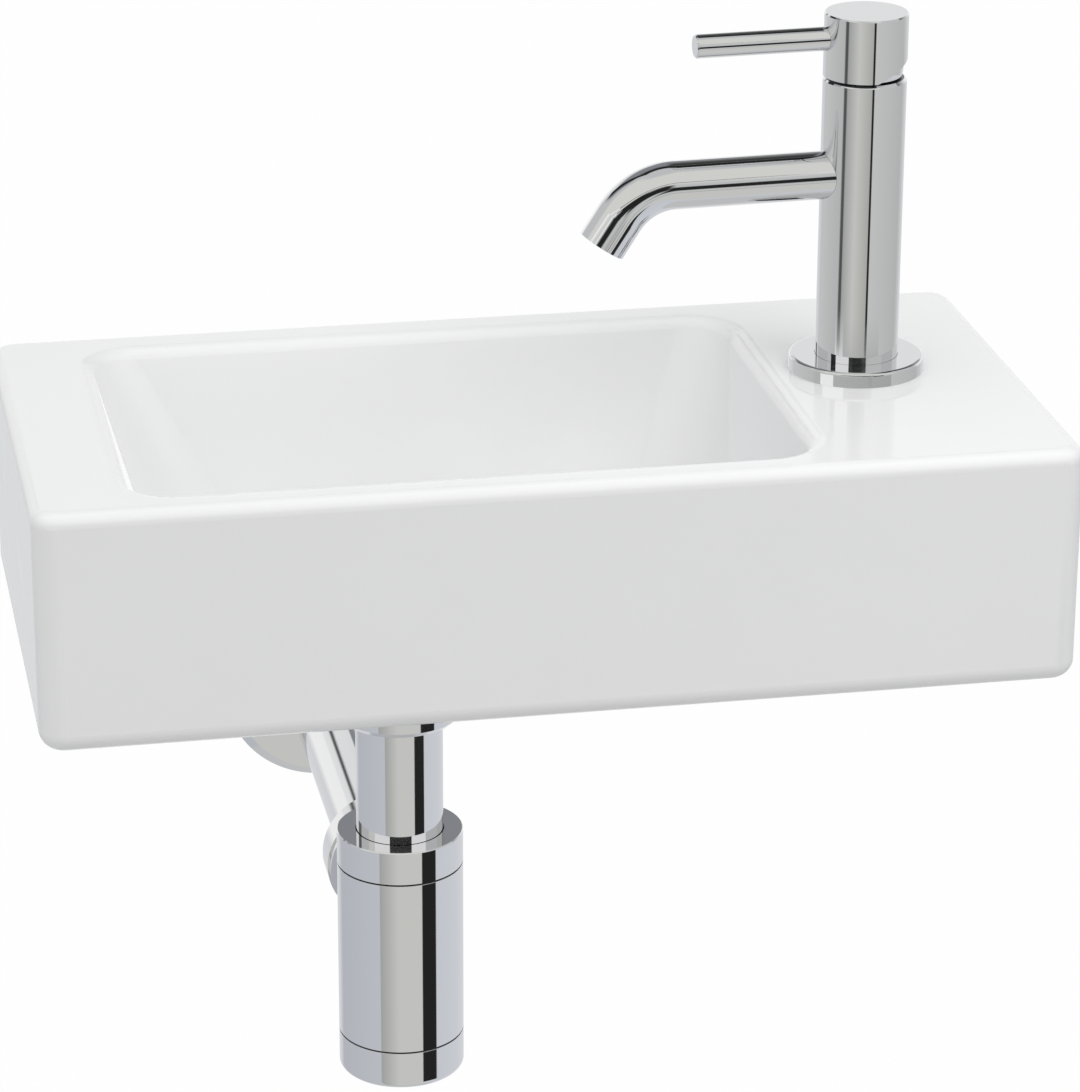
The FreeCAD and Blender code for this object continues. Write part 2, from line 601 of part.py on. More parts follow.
def cartridge_turret():
    """Turning carrier: a flange in the cartridge and a slotted stalk with the stem's pin hole."""
    form = post(CARTRIDGE_BORE - RUNNING_GAP, TURRET_FOOT, TURRET_SHOULDER, TAP_X, TAP_Y)
    top = PIVOT + STALK_ABOVE_PIVOT
    form = form.fuse(post(STALK_RADIUS, TURRET_SHOULDER, top, TAP_X, TAP_Y)).removeSplitter()
    half = POST_HALF + RUNNING_GAP
    form = form.cut(block(TAP_X - half - DISC_TRAVEL, TAP_X + half, TAP_Y - half, TAP_Y + half,
                          TURRET_FOOT - OVERCUT, TURRET_SHOULDER))
    drop = PIVOT - TURRET_SHOULDER + OVERCUT
    rise = STALK_ABOVE_PIVOT + OVERCUT
    swung = drop * math.tan(LIFT) + ARM_RADIUS / math.cos(LIFT) + RUNNING_GAP
    side = STEM_HALF / math.cos(LIFT) + RUNNING_GAP
    outline = [(-swung, -drop), (side, -drop), (side, 0), (side + rise * math.tan(LIFT), rise),
               (-STEM_HALF - RUNNING_GAP, rise)]
    half = STEM_HALF + RUNNING_GAP
    form = form.cut(prism([(TAP_X + x, PIVOT + z) for x, z in outline], TAP_Y - half, TAP_Y + half))
    return form.cut(pin_bar(PIN_RADIUS + PIN_GAP, STALK_RADIUS + OVERCUT))


def pin_bar(radius, half_length):
    """Bar along the lift axis."""
    return Part.makeCylinder(radius, 2 * half_length, V(TAP_X, TAP_Y - half_length, PIVOT), Y_AXIS)


def stem_pin():
    """Steel pin on which the stem tilts."""
    return pin_bar(PIN_RADIUS, STALK_RADIUS - OVERCUT)


def stem():
    """Square stem with a ball-ended arm below the pin."""
    form = block(TAP_X - STEM_HALF, TAP_X + STEM_HALF, TAP_Y - STEM_HALF, TAP_Y + STEM_HALF,
                 PIVOT - STEM_BELOW_PIVOT, PIVOT + STEM_ABOVE_PIVOT)
    form = form.fuse(post(ARM_RADIUS, BALL, PIVOT, TAP_X, TAP_Y))
    form = form.fuse(Part.makeSphere(BALL_RADIUS, V(TAP_X, TAP_Y, BALL)))
    return form.cut(pin_bar(PIN_RADIUS + PIN_GAP, STEM_HALF + OVERCUT)).removeSplitter()


def cartridge_nut():
    """Threaded ring that holds the cartridge down, with spanner notches."""
    form = ring(CARTRIDGE_RADIUS, STALK_RADIUS + RUNNING_GAP, CARTRIDGE_TOP, BODY_TOP, TAP_X, TAP_Y)
    half = NUT_NOTCH_WIDTH / 2
    notch = block(TAP_X, TAP_X + CARTRIDGE_RADIUS - CARTRIDGE_WALL, TAP_Y - half, TAP_Y + half,
                  BODY_TOP - NUT_NOTCH_DEPTH, BODY_TOP + OVERCUT)
    for turn in range(NUT_NOTCHES):
        turned_notch = notch.copy()
        turned_notch.rotate(V(TAP_X, TAP_Y, 0), Z_AXIS, 360 * turn / NUT_NOTCHES)
        form = form.cut(turned_notch)
    return form


def dome_cap():
    """Fixed ball-shaped collar, centred on the pivot, that shows in the notch of the head."""
    pivot = V(TAP_X, TAP_Y, PIVOT)
    shell = Part.makeSphere(DOME_RADIUS, pivot).cut(Part.makeSphere(DOME_RADIUS - DOME_WALL, pivot))
    return shell.common(post(DOME_RADIUS + OVERCUT, BODY_TOP, BODY_TOP + DOME_RISE, TAP_X, TAP_Y))


def tap_head():
    """Round head: ball-shaped inside, notched behind so that it can tilt, bored for stem and lever."""
    form = post(TAP_RADIUS, HEAD_FOOT, HEAD_TOP, TAP_X, TAP_Y)
    form = form.makeChamfer(HEAD_CHAMFER, edges_at(form, HEAD_TOP))
    reach = TAP_RADIUS + OVERCUT
    slope = math.tan(math.radians(CEILING_TILT)) * reach
    below = HEAD_FOOT - OVERCUT
    ceiling = PIVOT + CEILING_RISE
    space = prism([(TAP_X - reach, below), (TAP_X + reach, below), (TAP_X + reach, ceiling + slope),
                   (TAP_X - reach, ceiling - slope)], TAP_Y - reach, TAP_Y + reach)
    ball = Part.makeSphere(DOME_RADIUS + HEAD_CLEARANCE, V(TAP_X, TAP_Y, PIVOT))
    form = form.cut(ball.common(space))
    rise = math.tan(math.radians(NOTCH_ANGLE)) * reach
    notch = prism([(TAP_X, HEAD_FOOT), (TAP_X + reach, HEAD_FOOT + rise), (TAP_X + reach, below),
                   (TAP_X, below)], TAP_Y - reach, TAP_Y + reach)
    form = form.cut(notch)
    half = STEM_HALF + FIT
    form = form.cut(block(TAP_X - half, TAP_X + half, TAP_Y - half, TAP_Y + half,
                          PIVOT, PIVOT + STEM_ABOVE_PIVOT + FIT))
    lever_hole = V(TAP_X - LEVER_THREAD_INNER + FIT, TAP_Y, LEVER_Z)
    form = form.cut(Part.makeCylinder(LEVER_THREAD + FIT, TAP_RADIUS, lever_hole, -X_AXIS))
    grub_hole = V(TAP_X, TAP_Y, GRUB_Z)
    return form.cut(Part.makeCylinder(GRUB_RADIUS + FIT, reach, grub_hole, X_AXIS))


def lever():
    """Round lever rod, saddled on the head, with its threaded end."""
    tip = V(TAP_X - LEVER_REACH, TAP_Y, LEVER_Z)
    rod = Part.makeCylinder(LEVER_RADIUS, LEVER_REACH - LEVER_THREAD_INNER, tip, X_AXIS)
    tip_edges = [edge for edge in rod.Edges if edge.BoundBox.XMax < tip.x + FIT]
    rod = rod.makeChamfer(LEVER_CHAMFER, tip_edges)
    rod = rod.cut(post(TAP_RADIUS + PIN_GAP, HEAD_FOOT, HEAD_TOP, TAP_X, TAP_Y))
    thread = Part.makeCylinder(LEVER_THREAD, LEVER_REACH - LEVER_THREAD_INNER - LEVER_RADIUS,
                               tip + X_AXIS * LEVER_RADIUS, X_AXIS)
    return rod.fuse(thread).removeSplitter()


def grub_screw():
    """Hexagon socket screw that presses on the back of the stem."""
    form = Part.makeCylinder(GRUB_RADIUS, GRUB_LENGTH, V(TAP_X + STEM_HALF, TAP_Y, GRUB_Z), X_AXIS)
    key = hexagon(GRUB_KEY_ACROSS, GRUB_LENGTH - GRUB_KEY_DEPTH, GRUB_LENGTH + OVERCUT, 0, 0)
    key.Placement = FreeCAD.Placement(V(TAP_X + STEM_HALF, TAP_Y, GRUB_Z), FreeCAD.Rotation(Z_AXIS, X_AXIS))
    return form.cut(key)


def fixing_stud():
    """Threaded stud from the tap body down through the clamp plate."""
    return post(STUD_RADIUS, FIXING_NUT_FOOT - STUD_FREE_END, BODY_FOOT + STUD_HOLD, TAP_X + STUD_X, TAP_Y)


def horseshoe(low, high):
    """Horseshoe plate, open on the side where the hoses pass."""
    form = post(CLAMP_RADIUS, low, high, TAP_X, TAP_Y)
    opening = block(TAP_X - CLAMP_RADIUS - OVERCUT, TAP_X + CLAMP_SLOT_END, TAP_Y - CLAMP_SLOT_HALF,
                    TAP_Y + CLAMP_SLOT_HALF, low - OVERCUT, high + OVERCUT)
    stud_hole = post(STUD_RADIUS + FIT, low - OVERCUT, high + OVERCUT, TAP_X + STUD_X, TAP_Y)
    return form.cut(opening).cut(stud_hole)


def rubber_washer():
    """Rubber horseshoe under the deck."""
    return horseshoe(CLAMP_TOP, DECK_UNDER)


def horseshoe_washer():
    """Steel horseshoe clamp plate."""
    return horseshoe(CLAMP_FOOT, CLAMP_TOP)


def fixing_nut():
    """Hexagon nut on the stud."""
    form = hexagon(FIXING_NUT_ACROSS, FIXING_NUT_FOOT, CLAMP_FOOT, TAP_X + STUD_X, TAP_Y)
    return form.cut(post(STUD_RADIUS + FIT, FIXING_NUT_FOOT - OVERCUT, CLAMP_FOOT + OVERCUT,
                         TAP_X + STUD_X, TAP_Y))


def waste_body():
    """Flanged waste with a threaded tail and a cross bridge for the cover's screw."""
    form = turned([(TAIL_BORE, TAIL_END), (TAIL_RADIUS, TAIL_END), (TAIL_RADIUS, WASTE_SEAT),
                   (WASTE_FLANGE_RADIUS, WASTE_SEAT), (WASTE_FLANGE_RADIUS, WASTE_TOP),
                   (TAIL_BORE, WASTE_TOP)], WASTE_X, WASTE_Y)
    form = form.makeFillet(WASTE_FLANGE_EDGE, edges_at(form, WASTE_TOP))
    low = BRIDGE_TOP - BRIDGE_HEIGHT
    half = BRIDGE_WIDTH / 2
    reach = (TAIL_BORE + TAIL_RADIUS) / 2
    form = form.fuse(block(WASTE_X - reach, WASTE_X + reach, WASTE_Y - half, WASTE_Y + half, low, BRIDGE_TOP))
    form = form.fuse(block(WASTE_X - half, WASTE_X + half, WASTE_Y - reach, WASTE_Y + reach, low, BRIDGE_TOP))
    form = form.fuse(post(BRIDGE_BOSS, low, BRIDGE_TOP, WASTE_X, WASTE_Y))
    form = form.cut(post(COVER_THREAD + FIT, low - OVERCUT, BRIDGE_TOP + OVERCUT, WASTE_X, WASTE_Y))
    return form.removeSplitter()


def waste_cover():
    """Fixed round cover on a post, which leaves the flow gap open all round."""
    foot = WASTE_TOP + COVER_LIFT
    top = foot + COVER_THICKNESS
    form = post(COVER_RADIUS, foot, top, WASTE_X, WASTE_Y)
    form = form.makeFillet(COVER_EDGE, edges_at(form, top))
    form = form.fuse(post(COVER_POST, BRIDGE_TOP, foot, WASTE_X, WASTE_Y))
    form = form.fuse(post(COVER_THREAD, BRIDGE_TOP - BRIDGE_HEIGHT, BRIDGE_TOP, WASTE_X, WASTE_Y))
    return form.removeSplitter()


def upper_seal():
    """Flat ring between the waste's flange and the bowl."""
    return ring(WASTE_FLANGE_RADIUS, WASTE_HOLE_RADIUS, RECESS, WASTE_SEAT, WASTE_X, WASTE_Y)


def lower_seal():
    """Rubber ring under the bowl."""
    inner = TAIL_RADIUS + FIT
    return ring(inner + LOWER_SEAL_WIDTH, inner, BACK_NUT_TOP, UNDERSIDE, WASTE_X, WASTE_Y)


def back_nut():
    """Hexagon back nut that pulls the waste down."""
    form = hexagon(BACK_NUT_ACROSS, BACK_NUT_TOP - BACK_NUT_HEIGHT, BACK_NUT_TOP, WASTE_X, WASTE_Y)
    return form.cut(post(TAIL_RADIUS + FIT, BACK_NUT_TOP - BACK_NUT_HEIGHT - OVERCUT, BACK_NUT_TOP + OVERCUT,
                         WASTE_X, WASTE_Y))


def union_nut():
    """Round nut on the waste's tail, with a chamfered foot."""
    top = TAIL_END + UNION_THREAD_LENGTH
    thread = TAIL_RADIUS + FIT
    mouth = TUBE_RADIUS + FIT
    return turned([(thread, top), (UNION_RADIUS, top), (UNION_RADIUS, UNION_FOOT + UNION_CHAMFER),
                   (UNION_RADIUS - UNION_CHAMFER, UNION_FOOT), (mouth, UNION_FOOT), (mouth, UNION_LIP_TOP),
                   (thread, UNION_LIP_TOP)], WASTE_X, WASTE_Y)


def union_seal():
    """Rubber ring squeezed between the tail and the union nut."""
    return ring(TAIL_RADIUS, TUBE_RADIUS + PIN_GAP, UNION_LIP_TOP, TAIL_END, WASTE_X, WASTE_Y)


def inlet_tube():
    """Upright tube from the waste down into the trap's water."""
    return ring(TUBE_RADIUS, TUBE_BORE, TUBE_END, TAIL_END + TUBE_INSERT, WASTE_X, WASTE_Y)


def collar_nut():
    """Round nut that clamps the trap on the tube."""
    thread = NECK_RADIUS + FIT
    mouth = TUBE_RADIUS + RUNNING_GAP
    lip = COLLAR_TOP - COLLAR_LIP
    return turned([(thread, COLLAR_SEAM), (SEAM_RADIUS, COLLAR_SEAM),
                   (TRAP_RADIUS, COLLAR_SEAM + SEAM_CHAMFER), (TRAP_RADIUS, COLLAR_TOP - SEAM_CHAMFER),
                   (SEAM_RADIUS, COLLAR_TOP), (mouth, COLLAR_TOP), (mouth, lip), (thread, lip)],
                  WASTE_X, WASTE_Y)


def collar_seal():
    """Rubber ring under the collar nut."""
    top = NECK_TOP + COLLAR_SEAL_THICKNESS
    return ring(NECK_RADIUS, TUBE_RADIUS + PIN_GAP, NECK_TOP, top, WASTE_X, WASTE_Y)


def trap_body():
    """Chromed bottle with a threaded neck and a rear branch for the wall tube."""
    ceiling = COLLAR_SEAM - TRAP_SHOULDER
    form = turned([(CHAMBER_RADIUS, CUP_SEAM), (SEAM_RADIUS, CUP_SEAM),
                   (TRAP_RADIUS, CUP_SEAM + SEAM_CHAMFER), (TRAP_RADIUS, COLLAR_SEAM - SEAM_CHAMFER),
                   (SEAM_RADIUS, COLLAR_SEAM), (NECK_RADIUS, COLLAR_SEAM),
                   (NECK_RADIUS, NECK_TOP), (NECK_BORE, NECK_TOP),
                   (NECK_BORE, ceiling), (CHAMBER_RADIUS, ceiling)], WASTE_X, WASTE_Y)
    root = WASTE_Y + TUBE_RADIUS
    branch = turned_back([(0, root), (BRANCH_RADIUS, root), (BRANCH_RADIUS, SHOULDER_Y),
                          (SHOULDER_RADIUS, SHOULDER_Y), (SHOULDER_RADIUS, THREAD_Y),
                          (OUTLET_THREAD_RADIUS, THREAD_Y), (OUTLET_THREAD_RADIUS, THREAD_END_Y),
                          (0, THREAD_END_Y)])
    branch = branch.cut(post(CHAMBER_RADIUS, CUP_SEAM, COLLAR_SEAM, WASTE_X, WASTE_Y))
    bore = turned_back([(0, WASTE_Y), (BRANCH_RADIUS - BRANCH_WALL, WASTE_Y),
                        (BRANCH_RADIUS - BRANCH_WALL, PIPE_START_Y), (SOCKET_RADIUS, PIPE_START_Y),
                        (SOCKET_RADIUS, THREAD_END_Y + OVERCUT), (0, THREAD_END_Y + OVERCUT)])
    return form.fuse(branch).cut(bore).removeSplitter()


def trap_cup():
    """Screw-on cup at the bottom of the trap, with a groove for its seal."""
    inner = CUP_THREAD_RADIUS - CUP_THREAD_WALL
    floor = CUP_FOOT + CUP_FLOOR
    top = CUP_SEAM + CUP_THREAD_LENGTH
    seat = CUP_SEAM - CUP_SEAL_HEIGHT
    seal_inner = CUP_SEAL_INNER - FIT
    seal_outer = CUP_SEAL_INNER + CUP_SEAL_WIDTH + FIT
    form = turned([(0, CUP_FOOT), (TRAP_RADIUS, CUP_FOOT), (TRAP_RADIUS, CUP_SEAM - SEAM_CHAMFER),
                   (SEAM_RADIUS, CUP_SEAM), (seal_outer, CUP_SEAM),
                   (seal_outer, seat), (seal_inner, seat), (seal_inner, CUP_SEAM),
                   (CUP_THREAD_RADIUS, CUP_SEAM), (CUP_THREAD_RADIUS, top), (inner, top),
                   (inner, floor), (0, floor)], WASTE_X, WASTE_Y)
    return form.makeFillet(CUP_EDGE, edges_at(form, CUP_FOOT))


def cup_seal():
    """Flat rubber ring in the cup's groove."""
    return ring(CUP_SEAL_INNER + CUP_SEAL_WIDTH, CUP_SEAL_INNER, CUP_SEAM - CUP_SEAL_HEIGHT, CUP_SEAM,
                WASTE_X, WASTE_Y)


def outlet_nut():
    """Round nut that clamps the wall tube in the branch."""
    thread = OUTLET_THREAD_RADIUS + FIT
    mouth = TUBE_RADIUS + FIT
    return turned_back([(thread, THREAD_Y), (OUTLET_NUT_RADIUS, THREAD_Y),
                        (OUTLET_NUT_RADIUS, OUTLET_NUT_END_Y - OUTLET_NUT_CHAMFER),
                        (OUTLET_NUT_RADIUS - OUTLET_NUT_CHAMFER, OUTLET_NUT_END_Y), (mouth, OUTLET_NUT_END_Y),
                        (mouth, OUTLET_LIP_Y), (thread, OUTLET_LIP_Y)])


def outlet_seal():
    """Rubber ring under the outlet nut."""
    inner = TUBE_RADIUS + PIN_GAP
    return turned_back([(inner, THREAD_END_Y), (OUTLET_THREAD_RADIUS, THREAD_END_Y),
                        (OUTLET_THREAD_RADIUS, OUTLET_LIP_Y), (inner, OUTLET_LIP_Y)])


def outlet_pipe():
    """Wall tube, uncut, running straight back from the trap."""
    return turned_back([(TUBE_BORE, PIPE_START_Y), (TUBE_RADIUS, PIPE_START_Y),
                        (TUBE_RADIUS, PIPE_BEHIND_WALL), (TUBE_BORE, PIPE_BEHIND_WALL)])


def wall_rosette():
    """Spun dished cover plate that slides on the wall tube."""
    bore = TUBE_RADIUS + RUNNING_GAP
    back = ROSETTE_BEHIND_WALL
    front = back - ROSETTE_DEPTH
    shoulder = ROSETTE_RADIUS - ROSETTE_BEVEL
    return turned_back([(bore, front), (shoulder, front), (ROSETTE_RADIUS, front + ROSETTE_BEVEL),
                        (ROSETTE_RADIUS, back), (ROSETTE_RADIUS - ROSETTE_SHEET, back),
                        (ROSETTE_RADIUS - ROSETTE_SHEET, front + ROSETTE_BEVEL + ROSETTE_SHEET / 2),
                        (shoulder - ROSETTE_SHEET / 2, front + ROSETTE_SHEET), (bore, front + ROSETTE_SHEET)])


TAP = (base_flange, base_gasket, tap_body, spout, aerator_housing, aerator_insert,
       cartridge_base, cartridge_shell, fixed_disc, moving_disc, disc_carrier, cartridge_turret,
       stem_pin, stem, cartridge_nut, dome_cap, tap_head, lever, grub_screw,
       fixing_stud, rubber_washer, horseshoe_washer, fixing_nut)
DRAIN = (waste_body, waste_cover, upper_seal, lower_seal, back_nut, union_nut, union_seal,
         inlet_tube, collar_nut, collar_seal, trap_body, trap_cup, cup_seal,
         outlet_nut, outlet_seal, outlet_pipe, wall_rosette)

os.makedirs("parts", exist_ok=True)
for piece in (basin,) + TAP + DRAIN:
    form = piece()
    if piece in TAP:
        form.rotate(V(TAP_X, TAP_Y, 0), Z_AXIS, TAP_TURN)
    form.exportStep("parts/" + piece.__name__ + ".step")
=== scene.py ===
import bpy
import math
from mathutils import Matrix, Vector


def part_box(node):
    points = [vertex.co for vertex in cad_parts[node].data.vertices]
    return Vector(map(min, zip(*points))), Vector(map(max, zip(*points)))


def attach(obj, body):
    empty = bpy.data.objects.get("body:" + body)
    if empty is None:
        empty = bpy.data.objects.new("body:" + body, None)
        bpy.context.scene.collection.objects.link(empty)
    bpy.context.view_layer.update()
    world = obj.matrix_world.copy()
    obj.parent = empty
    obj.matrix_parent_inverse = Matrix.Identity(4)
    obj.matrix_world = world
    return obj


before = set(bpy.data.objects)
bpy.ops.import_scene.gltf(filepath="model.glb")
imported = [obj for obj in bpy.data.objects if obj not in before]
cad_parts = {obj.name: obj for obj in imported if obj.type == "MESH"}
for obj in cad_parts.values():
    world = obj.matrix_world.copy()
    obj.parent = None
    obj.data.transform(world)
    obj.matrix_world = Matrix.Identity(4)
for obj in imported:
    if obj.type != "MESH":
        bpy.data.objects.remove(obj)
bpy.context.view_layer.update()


# Ceramic body
# One slip-cast piece of vitreous china, dipped in white glaze and fired once. The glaze pools a
# little, so its gloss is never quite flat. The back is ground to bear on the wall and stays bare.
MM = 0.001
GLAZE_WHITE = (0.918, 0.919, 0.921, 1)
GLAZE_SHADE = (0.914, 0.915, 0.917, 1)
GLAZE_IOR = 1.52
GLAZE_GLOSS = 0.05
GLAZE_DULL = 0.085
BISQUE = (0.74, 0.70, 0.64, 1)
BISQUE_ROUGHNESS = 0.8
BARE_DEPTH = 0.3 * MM
POOLING_SCALE = 28.0
POOLING_HEIGHT = 0.05 * MM
PEEL_SCALE = 420.0
PEEL_SHARE = 0.03
SLOW_DETAIL = 2.0
SLOW_ROUGHNESS = 0.45
FINE_DETAIL = 3.0
FINE_ROUGHNESS = 0.5
MASK_FROM = 0.42
MASK_TO = 0.68


def add_node(tree, kind, **settings):
    """New node; a setting whose name is a socket sets that socket, any other an attribute."""
    node = tree.nodes.new(kind)
    for name, value in settings.items():
        socket = node.inputs.get(name.replace("_", " "))
        if socket is not None and not hasattr(node, name):
            socket.default_value = value
        else:
            setattr(node, name, value)
    return node


def uneven_surface_group():
    """Shared effect: slow and fine unevenness of a surface, as a height and as a mask."""
    tree = bpy.data.node_groups.new("uneven_surface", "ShaderNodeTree")
    sockets = tree.interface
    for name in ("Slow Scale", "Fine Scale", "Fine Share"):
        sockets.new_socket(name, in_out="INPUT", socket_type="NodeSocketFloat")
    for name in ("Height", "Mask"):
        sockets.new_socket(name, in_out="OUTPUT", socket_type="NodeSocketFloat")
    inside = add_node(tree, "NodeGroupInput")
    outside = add_node(tree, "NodeGroupOutput")
    place = add_node(tree, "ShaderNodeTexCoord")
    slow = add_node(tree, "ShaderNodeTexNoise", Detail=SLOW_DETAIL, Roughness=SLOW_ROUGHNESS)
    fine = add_node(tree, "ShaderNodeTexNoise", Detail=FINE_DETAIL, Roughness=FINE_ROUGHNESS)
    mix = add_node(tree, "ShaderNodeMix", data_type="FLOAT")
    ramp = add_node(tree, "ShaderNodeMapRange", interpolation_type="SMOOTHSTEP")
    ramp.inputs["From Min"].default_value = MASK_FROM
    ramp.inputs["From Max"].default_value = MASK_TO
    for noise, scale in ((slow, "Slow Scale"), (fine, "Fine Scale")):
        tree.links.new(place.outputs["Object"], noise.inputs["Vector"])
        tree.links.new(inside.outputs[scale], noise.inputs["Scale"])
    tree.links.new(inside.outputs["Fine Share"], mix.inputs["Factor"])
    tree.links.new(slow.outputs["Fac"], mix.inputs["A"])
    tree.links.new(fine.outputs["Fac"], mix.inputs["B"])
    tree.links.new(slow.outputs["Fac"], ramp.inputs["Value"])
    tree.links.new(mix.outputs["Result"], outside.inputs["Height"])
    tree.links.new(ramp.outputs["Result"], outside.inputs["Mask"])
    return tree


UNEVEN_SURFACE = uneven_surface_group()


def new_material(name, **principled):
    """Material with a Principled shader; keyword names are its sockets."""
    material = bpy.data.materials.new(name)
    material.use_nodes = True
    shader = material.node_tree.nodes["Principled BSDF"]
    for socket, value in principled.items():
        shader.inputs[socket.replace("_", " ")].default_value = value
    return material, material.node_tree, shader


def uneven(tree, slow, fine, share):
    """Places the shared unevenness in a material with its own values."""
    group = add_node(tree, "ShaderNodeGroup", node_tree=UNEVEN_SURFACE)
    group.inputs["Slow Scale"].default_value = slow
    group.inputs["Fine Scale"].default_value = fine
    group.inputs["Fine Share"].default_value = share
    return group


def bumped(tree, shader, height, depth):
    """Feeds a height through a bump node into the shader."""
    bump = add_node(tree, "ShaderNodeBump", Distance=depth)
    tree.links.new(height, bump.inputs["Height"])
    tree.links.new(bump.outputs["Normal"], shader.inputs["Normal"])


def ranged(tree, value, low, high):
    """Maps a mask from 0 to 1 onto low to high."""
    node = add_node(tree, "ShaderNodeMapRange")
    node.inputs["To Min"].default_value = low
    node.inputs["To Max"].default_value = high
    tree.links.new(value, node.inputs["Value"])
    return node.outputs["Result"]


# A mix node has sockets of one name for each kind of data, so those for colour go by their place.
MIX_FACTOR = 0
MIX_LOW = 6
MIX_HIGH = 7
MIX_RESULT = 2


def mixed(tree, mask, low, high):
    """Colour between two colours, or sockets, by a mask."""
    node = add_node(tree, "ShaderNodeMix", data_type="RGBA")
    tree.links.new(mask, node.inputs[MIX_FACTOR])
    for place, colour in ((MIX_LOW, low), (MIX_HIGH, high)):
        if isinstance(colour, bpy.types.NodeSocket):
            tree.links.new(colour, node.inputs[place])
        else:
            node.inputs[place].default_value = colour
    return node.outputs[MIX_RESULT]


def glaze_material():
    """White glaze, with bare bisque where the back meets the wall."""
    material, tree, shader = new_material("white_glaze", IOR=GLAZE_IOR)
    surface = uneven(tree, POOLING_SCALE, PEEL_SCALE, PEEL_SHARE)
    place = add_node(tree, "ShaderNodeTexCoord")
    axes = add_node(tree, "ShaderNodeSeparateXYZ")
    bare = add_node(tree, "ShaderNodeMath", operation="GREATER_THAN")
    bare.inputs[1].default_value = -BARE_DEPTH
    tree.links.new(place.outputs["Object"], axes.inputs["Vector"])
    tree.links.new(axes.outputs["Y"], bare.inputs[0])
    white = mixed(tree, surface.outputs["Mask"], GLAZE_WHITE, GLAZE_SHADE)
    tree.links.new(mixed(tree, bare.outputs["Value"], white, BISQUE), shader.inputs["Base Color"])
    gloss = ranged(tree, surface.outputs["Mask"], GLAZE_GLOSS, GLAZE_DULL)
    dull = add_node(tree, "ShaderNodeMath", operation="MAXIMUM")
    tree.links.new(gloss, dull.inputs[0])
    tree.links.new(ranged(tree, bare.outputs["Value"], 0.0, BISQUE_ROUGHNESS), dull.inputs[1])
    tree.links.new(dull.outputs["Value"], shader.inputs["Roughness"])
    bumped(tree, shader, surface.outputs["Height"], POOLING_HEIGHT)
    return material


def dress(material, *names):
    """Gives CAD nodes a better material in their own slots."""
    for name in names:
        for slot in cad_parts[name].material_slots:
            slot.material = material


dress(glaze_material(), "basin")
# Mirrors see neither the basin nor the waste in it, so that the chrome shows the studio's cards.
for hidden_from_mirrors in ("basin", "waste_body", "waste_cover", "upper_seal", "lower_seal", "back_nut"):
    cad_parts[hidden_from_mirrors].visible_glossy = False


# Chromed pieces of the tap, the waste and the trap
# Brass, turned or bent, polished and plated with bright chrome. The plate is a hard mirror with the
# faintest waver of hand polishing, and a few soft marks where drops have dried.
CHROME = (0.80, 0.80, 0.808, 1)
CHROME_MARKED = (0.765, 0.765, 0.77, 1)
CHROME_GLOSS = 0.03
CHROME_DULL = 0.09
CHROME_MARKS = 0.5
POLISH_SCALE = 35.0
POLISH_FINENESS = 12
POLISH_FINE_SHARE = 0.05
POLISH_HEIGHT = 0.006 * MM
DROP_SCALE = 130.0
DROP_EDGE = 0.16
FILM_SCALE = 22.0
FILM_DETAIL = 3.0
FILM_FROM = 0.5
FILM_TO = 0.72


def drop_marks_group():
    """Shared effect: scattered rings and films left by drops that dried."""
    tree = bpy.data.node_groups.new("drop_marks", "ShaderNodeTree")
    tree.interface.new_socket("Scale", in_out="INPUT", socket_type="NodeSocketFloat")
    tree.interface.new_socket("Amount", in_out="INPUT", socket_type="NodeSocketFloat")
    tree.interface.new_socket("Mask", in_out="OUTPUT", socket_type="NodeSocketFloat")
    inside = add_node(tree, "NodeGroupInput")
    outside = add_node(tree, "NodeGroupOutput")
    place = add_node(tree, "ShaderNodeTexCoord")
    drops = add_node(tree, "ShaderNodeTexVoronoi", feature="F1")
    film = add_node(tree, "ShaderNodeTexNoise", Scale=FILM_SCALE, Detail=FILM_DETAIL)
    edge = add_node(tree, "ShaderNodeMapRange", interpolation_type="SMOOTHSTEP")
    edge.inputs["From Min"].default_value = DROP_EDGE
    edge.inputs["From Max"].default_value = 0.0
    where = add_node(tree, "ShaderNodeMapRange", interpolation_type="SMOOTHSTEP")
    where.inputs["From Min"].default_value = FILM_FROM
    where.inputs["From Max"].default_value = FILM_TO
    both = add_node(tree, "ShaderNodeMath", operation="MULTIPLY")
    amount = add_node(tree, "ShaderNodeMath", operation="MULTIPLY")
    tree.links.new(place.outputs["Object"], drops.inputs["Vector"])
    tree.links.new(place.outputs["Object"], film.inputs["Vector"])
    tree.links.new(inside.outputs["Scale"], drops.inputs["Scale"])
    tree.links.new(drops.outputs["Distance"], edge.inputs["Value"])
    tree.links.new(film.outputs["Fac"], where.inputs["Value"])
    tree.links.new(edge.outputs["Result"], both.inputs[0])
    tree.links.new(where.outputs["Result"], both.inputs[1])
    tree.links.new(both.outputs["Value"], amount.inputs[0])
    tree.links.new(inside.outputs["Amount"], amount.inputs[1])
    tree.links.new(amount.outputs["Value"], outside.inputs["Mask"])
    return tree


DROP_MARKS = drop_marks_group()


